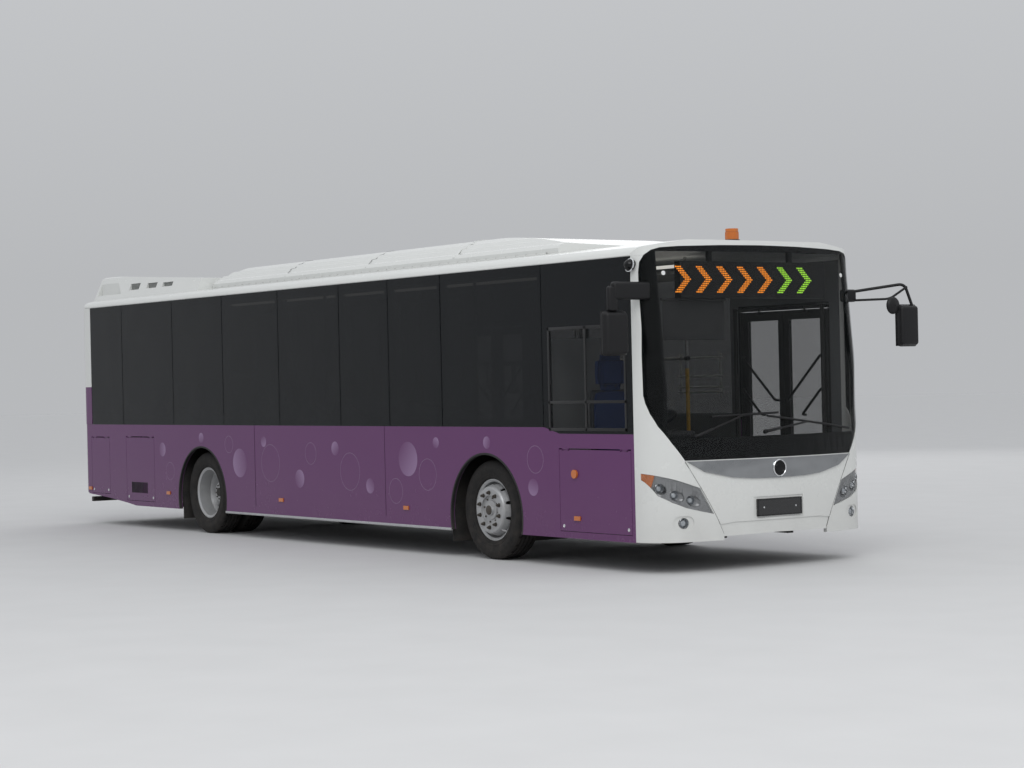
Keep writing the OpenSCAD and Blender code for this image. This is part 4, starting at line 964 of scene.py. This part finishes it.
# The doors: each leaf is a black aluminium frame round a bonded pane, with rubber seals along its two upright
# edges, a screwed kick plate and two grab rails inside; steel arms on covered posts swing it inwards.
dress(black_aluminium, "front_leaf_a", "front_leaf_b", "middle_leaf_a", "middle_leaf_b")
dress(black_steel, "front_door_arms_a", "front_door_arms_b", "middle_door_arms_a", "middle_door_arms_b")
rail_steel = surface("rail_steel", (0.42, 0.42, 0.41), scale=12, rough=(0.22, 0.34), metal=0.8)
HALF_DOOR, POST = 0.65, 0.045
SCREW = [(0.006, 0.0), (0.005, 0.003), (0.0005, 0.0035)]
GRAB_RAILS = ((0.085, 1.47, 0.555, 1.9), (0.285, 1.33, 0.555, 1.58))
for door in ("front", "middle"):
    meeting = (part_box(door + "_leaf_a")[0].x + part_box(door + "_leaf_b")[1].x) / 2
    for leaf in "ab":
        node = door + "_leaf_" + leaf
        low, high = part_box(node)
        toward = 1 if meeting > (low.x + high.x) / 2 else -1
        edge, far = (high.x, low.x) if toward > 0 else (low.x, high.x)
        unite([bar((min(a, b), flank - 0.038, low.z + 0.01), (max(a, b), flank + rise, high.z - 0.01), 0.006, 3)
               for a, b, rise in ((edge, edge - toward * 0.02, 0.002), (far, far - toward * 0.016, -0.004))],
              door + "_seals_" + leaf, rubber, node + "_body")
        kick = [bar((low.x + 0.075, flank - 0.002, low.z + 0.015), (high.x - 0.075, flank + 0.002, low.z + 0.095),
                    0.001)]
        kick += [lathe(SCREW, (x, flank + 0.002, low.z + 0.055), (0, 1, 0), 12)
                 for x in (low.x + 0.1, (low.x + high.x) / 2, high.x - 0.1)]
        unite(kick, door + "_kick_plate_" + leaf, aluminium, node + "_body")
        holds = []
        for x0, z0, x1, z1 in GRAB_RAILS:
            a, b = edge - toward * x0, edge - toward * x1
            path = ((a, 0.004, z0), (a, -0.045, z0), (b, -0.045, z1), (b, 0.004, z1))
            holds.append(pipe(rounded([(x, flank - 0.04 + y, z) for x, y, z in path], 0.03), 0.013, 5))
        unite(holds, door + "_grab_rails_" + leaf, black_plastic, node + "_body")
    unite([bar((min(a, b), flank - 0.03, low.z - 0.004), (max(a, b), flank - 0.001, high.z + 0.004))
           for a, b in ((meeting - HALF_DOOR, meeting - HALF_DOOR + POST),
                        (meeting + HALF_DOOR, meeting + HALF_DOOR - POST))],
          door + "_post_covers", black_aluminium)


# Inside, the fixed walls and seats: a grey bulkhead ahead of the engine, the driver's partition, and moulded
# plastic seats on steel feet with padded blue cushions; the driver's seat has a tall headrest.
dress(rail_steel, "handrails")
grey_plastic = surface("grey_plastic", (0.3, 0.31, 0.31), rough=(0.4, 0.5))
dress(grey_plastic, "cab_partition")
unite([bar((-5.45, -1.18, 0.805), (-5.43, 1.18, 1.62), 0.004)]
      + [bar((-5.43, y - 0.02, 0.86), (-5.424, y + 0.02, 1.6)) for y in (-0.72, 0, 0.72)],
      "engine_bulkhead", grey_plastic)
seat_shell = surface("seat_shell", (0.045, 0.05, 0.058), rough=(0.4, 0.55), relief=0.0003, slot="grey_plastic")
cloth = surface("seat_blue", (0.03, 0.065, 0.22), tone=0.6, scale=60, rough=(0.85, 0.95), relief=0.0008)


def cushion(low, high, swell, edge=0.03):
    """A padded block: soft edges and faces that swell outwards."""
    piece = bar(low, high, 0)
    edit()
    bpy.ops.mesh.subdivide(number_cuts=5)
    close()
    low, high = Vector(low), Vector(high)
    middle, half = (low + high) / 2, (high - low) / 2
    for v in piece.data.vertices:
        share = [(v.co[i] - middle[i]) / half[i] for i in range(3)]
        for i in range(3):
            j, k = (i + 1) % 3, (i + 2) % 3
            if abs(share[i]) > 0.999:
                v.co[i] += math.copysign(swell * (1 - share[j] ** 2) * (1 - share[k] ** 2), share[i])
            if abs(share[j]) > 0.999 and abs(share[k]) > 0.999:
                v.co[j] -= math.copysign(edge * 0.35, share[j])
                v.co[k] -= math.copysign(edge * 0.35, share[k])
    return piece


rear_axle_x, middle_door = axle_x[1], DOORS_X[1]
REAR_FLOOR, FLOOR, STEP_X, AISLE_Y, RAIL_Z = 0.8, 0.38, -1.75, 0.64, 1.9
seat_spots = [(rear_axle_x - d, y, REAR_FLOOR) for d in (0.924, 1.674, 2.424) for y in (-0.95, -0.49, 0.49, 0.95)]
seat_spots += [(middle_door + d, y, FLOOR) for d in (-1.145, 1.105, 1.855) for y in (-0.95, -0.49)]
driver = (4.75, -0.75, 0.63)
PADS = ((-0.185, 0.215, 0.195, 0.428, 0.472, 0.014), (-0.208, -0.17, 0.19, 0.48, 0.96, 0.012))
SHELLS = ((-0.21, 0.212, 0.214, 0.396, 0.43, 0.014, 3), (-0.246, -0.206, 0.214, 0.4, 0.985, 0.016, 3),
          (-0.06, 0.06, 0.06, 0.012, 0.4, 0.012, 2), (-0.1, 0.1, 0.09, 0.0, 0.014, 0.004, 1))
shells, pads = [], []
for x, y, z in seat_spots + [driver]:
    for made, make, table in ((pads, cushion, PADS), (shells, bar, SHELLS)):
        made += [make((x + x0, y - half, z + z0), (x + x1, y + half, z + z1), *soft)
                 for x0, x1, half, z0, z1, *soft in table]
    if (x, y, z) != driver:
        grip = ((-0.15, 0.95), (-0.15, 1.01), (0.15, 1.01), (0.15, 0.95))
        shells.append(pipe(rounded([(x - 0.235, y + aside, z + top) for aside, top in grip], 0.03), 0.011, 3))
x, y, z = driver
pads.append(cushion((x - 0.235, y - 0.15, z + 0.99), (x - 0.175, y + 0.15, z + 1.3), 0.018, 0.12))
shells += [rod((x - 0.22, y + out * 0.06, z + 0.94), (x - 0.2, y + out * 0.06, z + 1.03), 0.007, 10)
           for out in (-1, 1)]
unite(shells, "seat_shells", seat_shell, instead_of=["seats"], smooth=40)
unite(pads, "seat_cushions", cloth, smooth=60)


# Poles, straps and rails: steel tubes in yellow sleeves with black fittings, strap handles with white plastic
# grips that keep clear of the poles and the middle doors, and white rails across the panes.
poles = [(x, y, (REAR_FLOOR if x < STEP_X else FLOOR)) for y in (-AISLE_Y, AISLE_Y)
         for x in (rear_axle_x - 0.624, rear_axle_x + 0.976, middle_door - 0.695, middle_door + 0.755,
                   axle_x[0] - 1.032, axle_x[0] + 0.768)]
POLE_FOOT = [(0.045, 0.0), (0.045, 0.006), (0.026, 0.01), (0.022, 0.03), (0.018, 0.032)]
fittings, sleeves = [], []
for x, y, z in poles:
    fittings += [lathe(POLE_FOOT, (x, y, z), (0, 0, 1), 32),
                 rod((x - 0.026, y, RAIL_Z), (x + 0.026, y, RAIL_Z), 0.024, 24, 0.004)]
    sleeves.append(rod((x, y, z + 0.55), (x, y, 1.8), 0.0195, 24, 0.001))
unite(fittings, "pole_fittings", black_plastic)
yellow = surface("yellow_sleeve", (0.62, 0.36, 0.02), rough=(0.3, 0.4), coat=0.3, slot="rail_steel")
unite(sleeves, "pole_sleeves", yellow)
white_plastic = surface("white_plastic", (0.58, 0.59, 0.57), rough=(0.3, 0.4))
STRAPS_X, CAB_X, FRONT_X, POLE_GAP, DOOR_GAP = [-2.45 + 0.44 * k for k in range(13)], 2.9, 4.0, 0.1, 0.85
straps = []
for y, last_x in ((-AISLE_Y, CAB_X), (AISLE_Y, FRONT_X)):
    for x in STRAPS_X:
        clear_of_poles = min(abs(x - p[0]) for p in poles if p[1] == y) > POLE_GAP
        clear_of_doors = y < 0 or abs(x - middle_door) > DOOR_GAP
        if clear_of_poles and clear_of_doors and x < last_x:
            straps.append(Matrix.Translation((x, y, RAIL_Z)))
repeat(join([rod((-0.016, 0, -0.004), (0.016, 0, -0.004), 0.021, 20),
             bar((-0.013, -0.003, -0.19), (0.013, 0.003, -0.015), 0.0015, 1)]), straps)
hand_over("strap_loops", black_plastic)
repeat(pipe(rounded([(0, 0, -0.18), (0.075, 0, -0.3), (-0.075, 0, -0.3), (0, 0, -0.18), (0.004, 0, -0.186)],
                    0.022, 4), 0.009, 3), straps)
hand_over("strap_grips", white_plastic)
unite([rod((3.22, 1.17, z), (3.92, 1.17, z), 0.01, 16, 0.001) for z in (1.56, 1.61, 1.72, 1.91)]
      + [rod((x, 1.175, 1.5), (x, 1.175, 1.95), 0.012, 16, 0.001) for x in (3.26, 3.88)],
      "window_rails", white_plastic)


# The driver's dashboard with a round-edged binnacle and three dials in it, and the two rows of lamps along
# the ceiling behind diffusing covers.
dash = surface("dashboard", (0.02, 0.02, 0.022), scale=30, rough=(0.45, 0.6), relief=0.0004,
               slot="black_plastic")
dress(dash, "dashboard")
gauge = surface("gauge_face", (0.03, 0.035, 0.04), rough=(0.1, 0.2), coat=0.8, slot="black_gloss")
bar((5.33, -0.96, 1.155), (5.52, -0.54, 1.235), 0.03, 4)
hand_over("binnacle", dash)
unite([lathe([(0.052, -0.001), (0.052, 0.006), (0.047, 0.008), (0.044, 0.003), (0.0005, 0.003)], (5.331, y, 1.195),
             (-1, 0, 0.1), 32) for y in (-0.86, -0.75, -0.64)], "binnacle_dials", gauge)
ceiling = surface("ceiling_lamp", (0.72, 0.73, 0.72), rough=(0.3, 0.4), slot="lamp_clear")
unite([bar((-5.3, y - 0.055, 2.8), (4.2, y + 0.055, 2.825), 0.01, 3) for y in (-0.62, 0.62)], "ceiling_lamps",
      glowing(ceiling, (1.0, 0.97, 0.9), 0.9))


# The tail: round lamps one above the other in black panels, a lid with louvres, two locks and a pull
# handle, a black bumper cover and a rubber-edged rear window.
lens_red = surface("lamp_red", (0.45, 0.012, 0.01), tone=0.7, scale=18, rough=(0.08, 0.18), coat=0.8)
lens_white = surface("lamp_clear", (0.62, 0.63, 0.62), tone=0.9, scale=18, rough=(0.08, 0.18), coat=0.8)
dress(black_plastic, "tail_lamps")
low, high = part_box("tail_lamps")
TAIL_LAMPS = (("white", lens_white, (0,)), ("red", lens_red, (1, 2)), ("amber", amber, (3,)))
TAIL_LENS = [(0.05, -0.004), (0.05, 0.006), (0.046, 0.01), (0.036, 0.013), (0.034, 0.0115), (0.022, 0.0145),
             (0.02, 0.013), (0.0005, 0.015)]
for kind, look, rows in TAIL_LAMPS:
    unite([lathe(TAIL_LENS, (low.x, out * (high.y - 0.06), low.z + 0.065 + k * 0.117), (-1, 0, 0), 40)
           for out in (-1, 1) for k in rows], "tail_lenses_" + kind, look)
low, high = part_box("engine_lid")
tail_x, grip_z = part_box("rear_window")[0].x, low.z + 0.11
handle = pipe(rounded([(tail_x + 0.004, -0.09, grip_z), (tail_x - 0.032, -0.09, grip_z),
                       (tail_x - 0.032, 0.09, grip_z), (tail_x + 0.004, 0.09, grip_z)], 0.02), 0.008, 4)
unite([handle] + [lathe([(0.018, 0.0), (0.018, 0.003), (0.014, 0.005), (0.0005, 0.005)], (tail_x, y, low.z + 0.06),
                        (-1, 0, 0), 24) for y in (low.y + 0.07, high.y - 0.07)],
      "lid_handle", black_plastic, "engine_lid_body")
unite([slat((-0.01, -0.5, -0.0015), (0.01, 0.5, 0.0015), 0.0008, (tail_x + 0.006, 0, 0.91 + k * 0.04 + 0.006),
            -LEAN, "Y") for k in range(10)], "lid_louvres", black_plastic, "engine_lid_body")
low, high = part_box("rear_window")
unite([bar((tail_x - 0.004, a[0], a[1]), (tail_x + 0.004, b[0], b[1])) for a, b in
       edging(low.y, low.z, high.y, high.z, 0.02)], "rear_window_seal", rubber)
bar((tail_x - 0.006, -1.0, 0.402), (tail_x + 0.012, 1.0, 0.436), 0.006, 3)
hand_over("rear_bumper_cover", black_plastic)
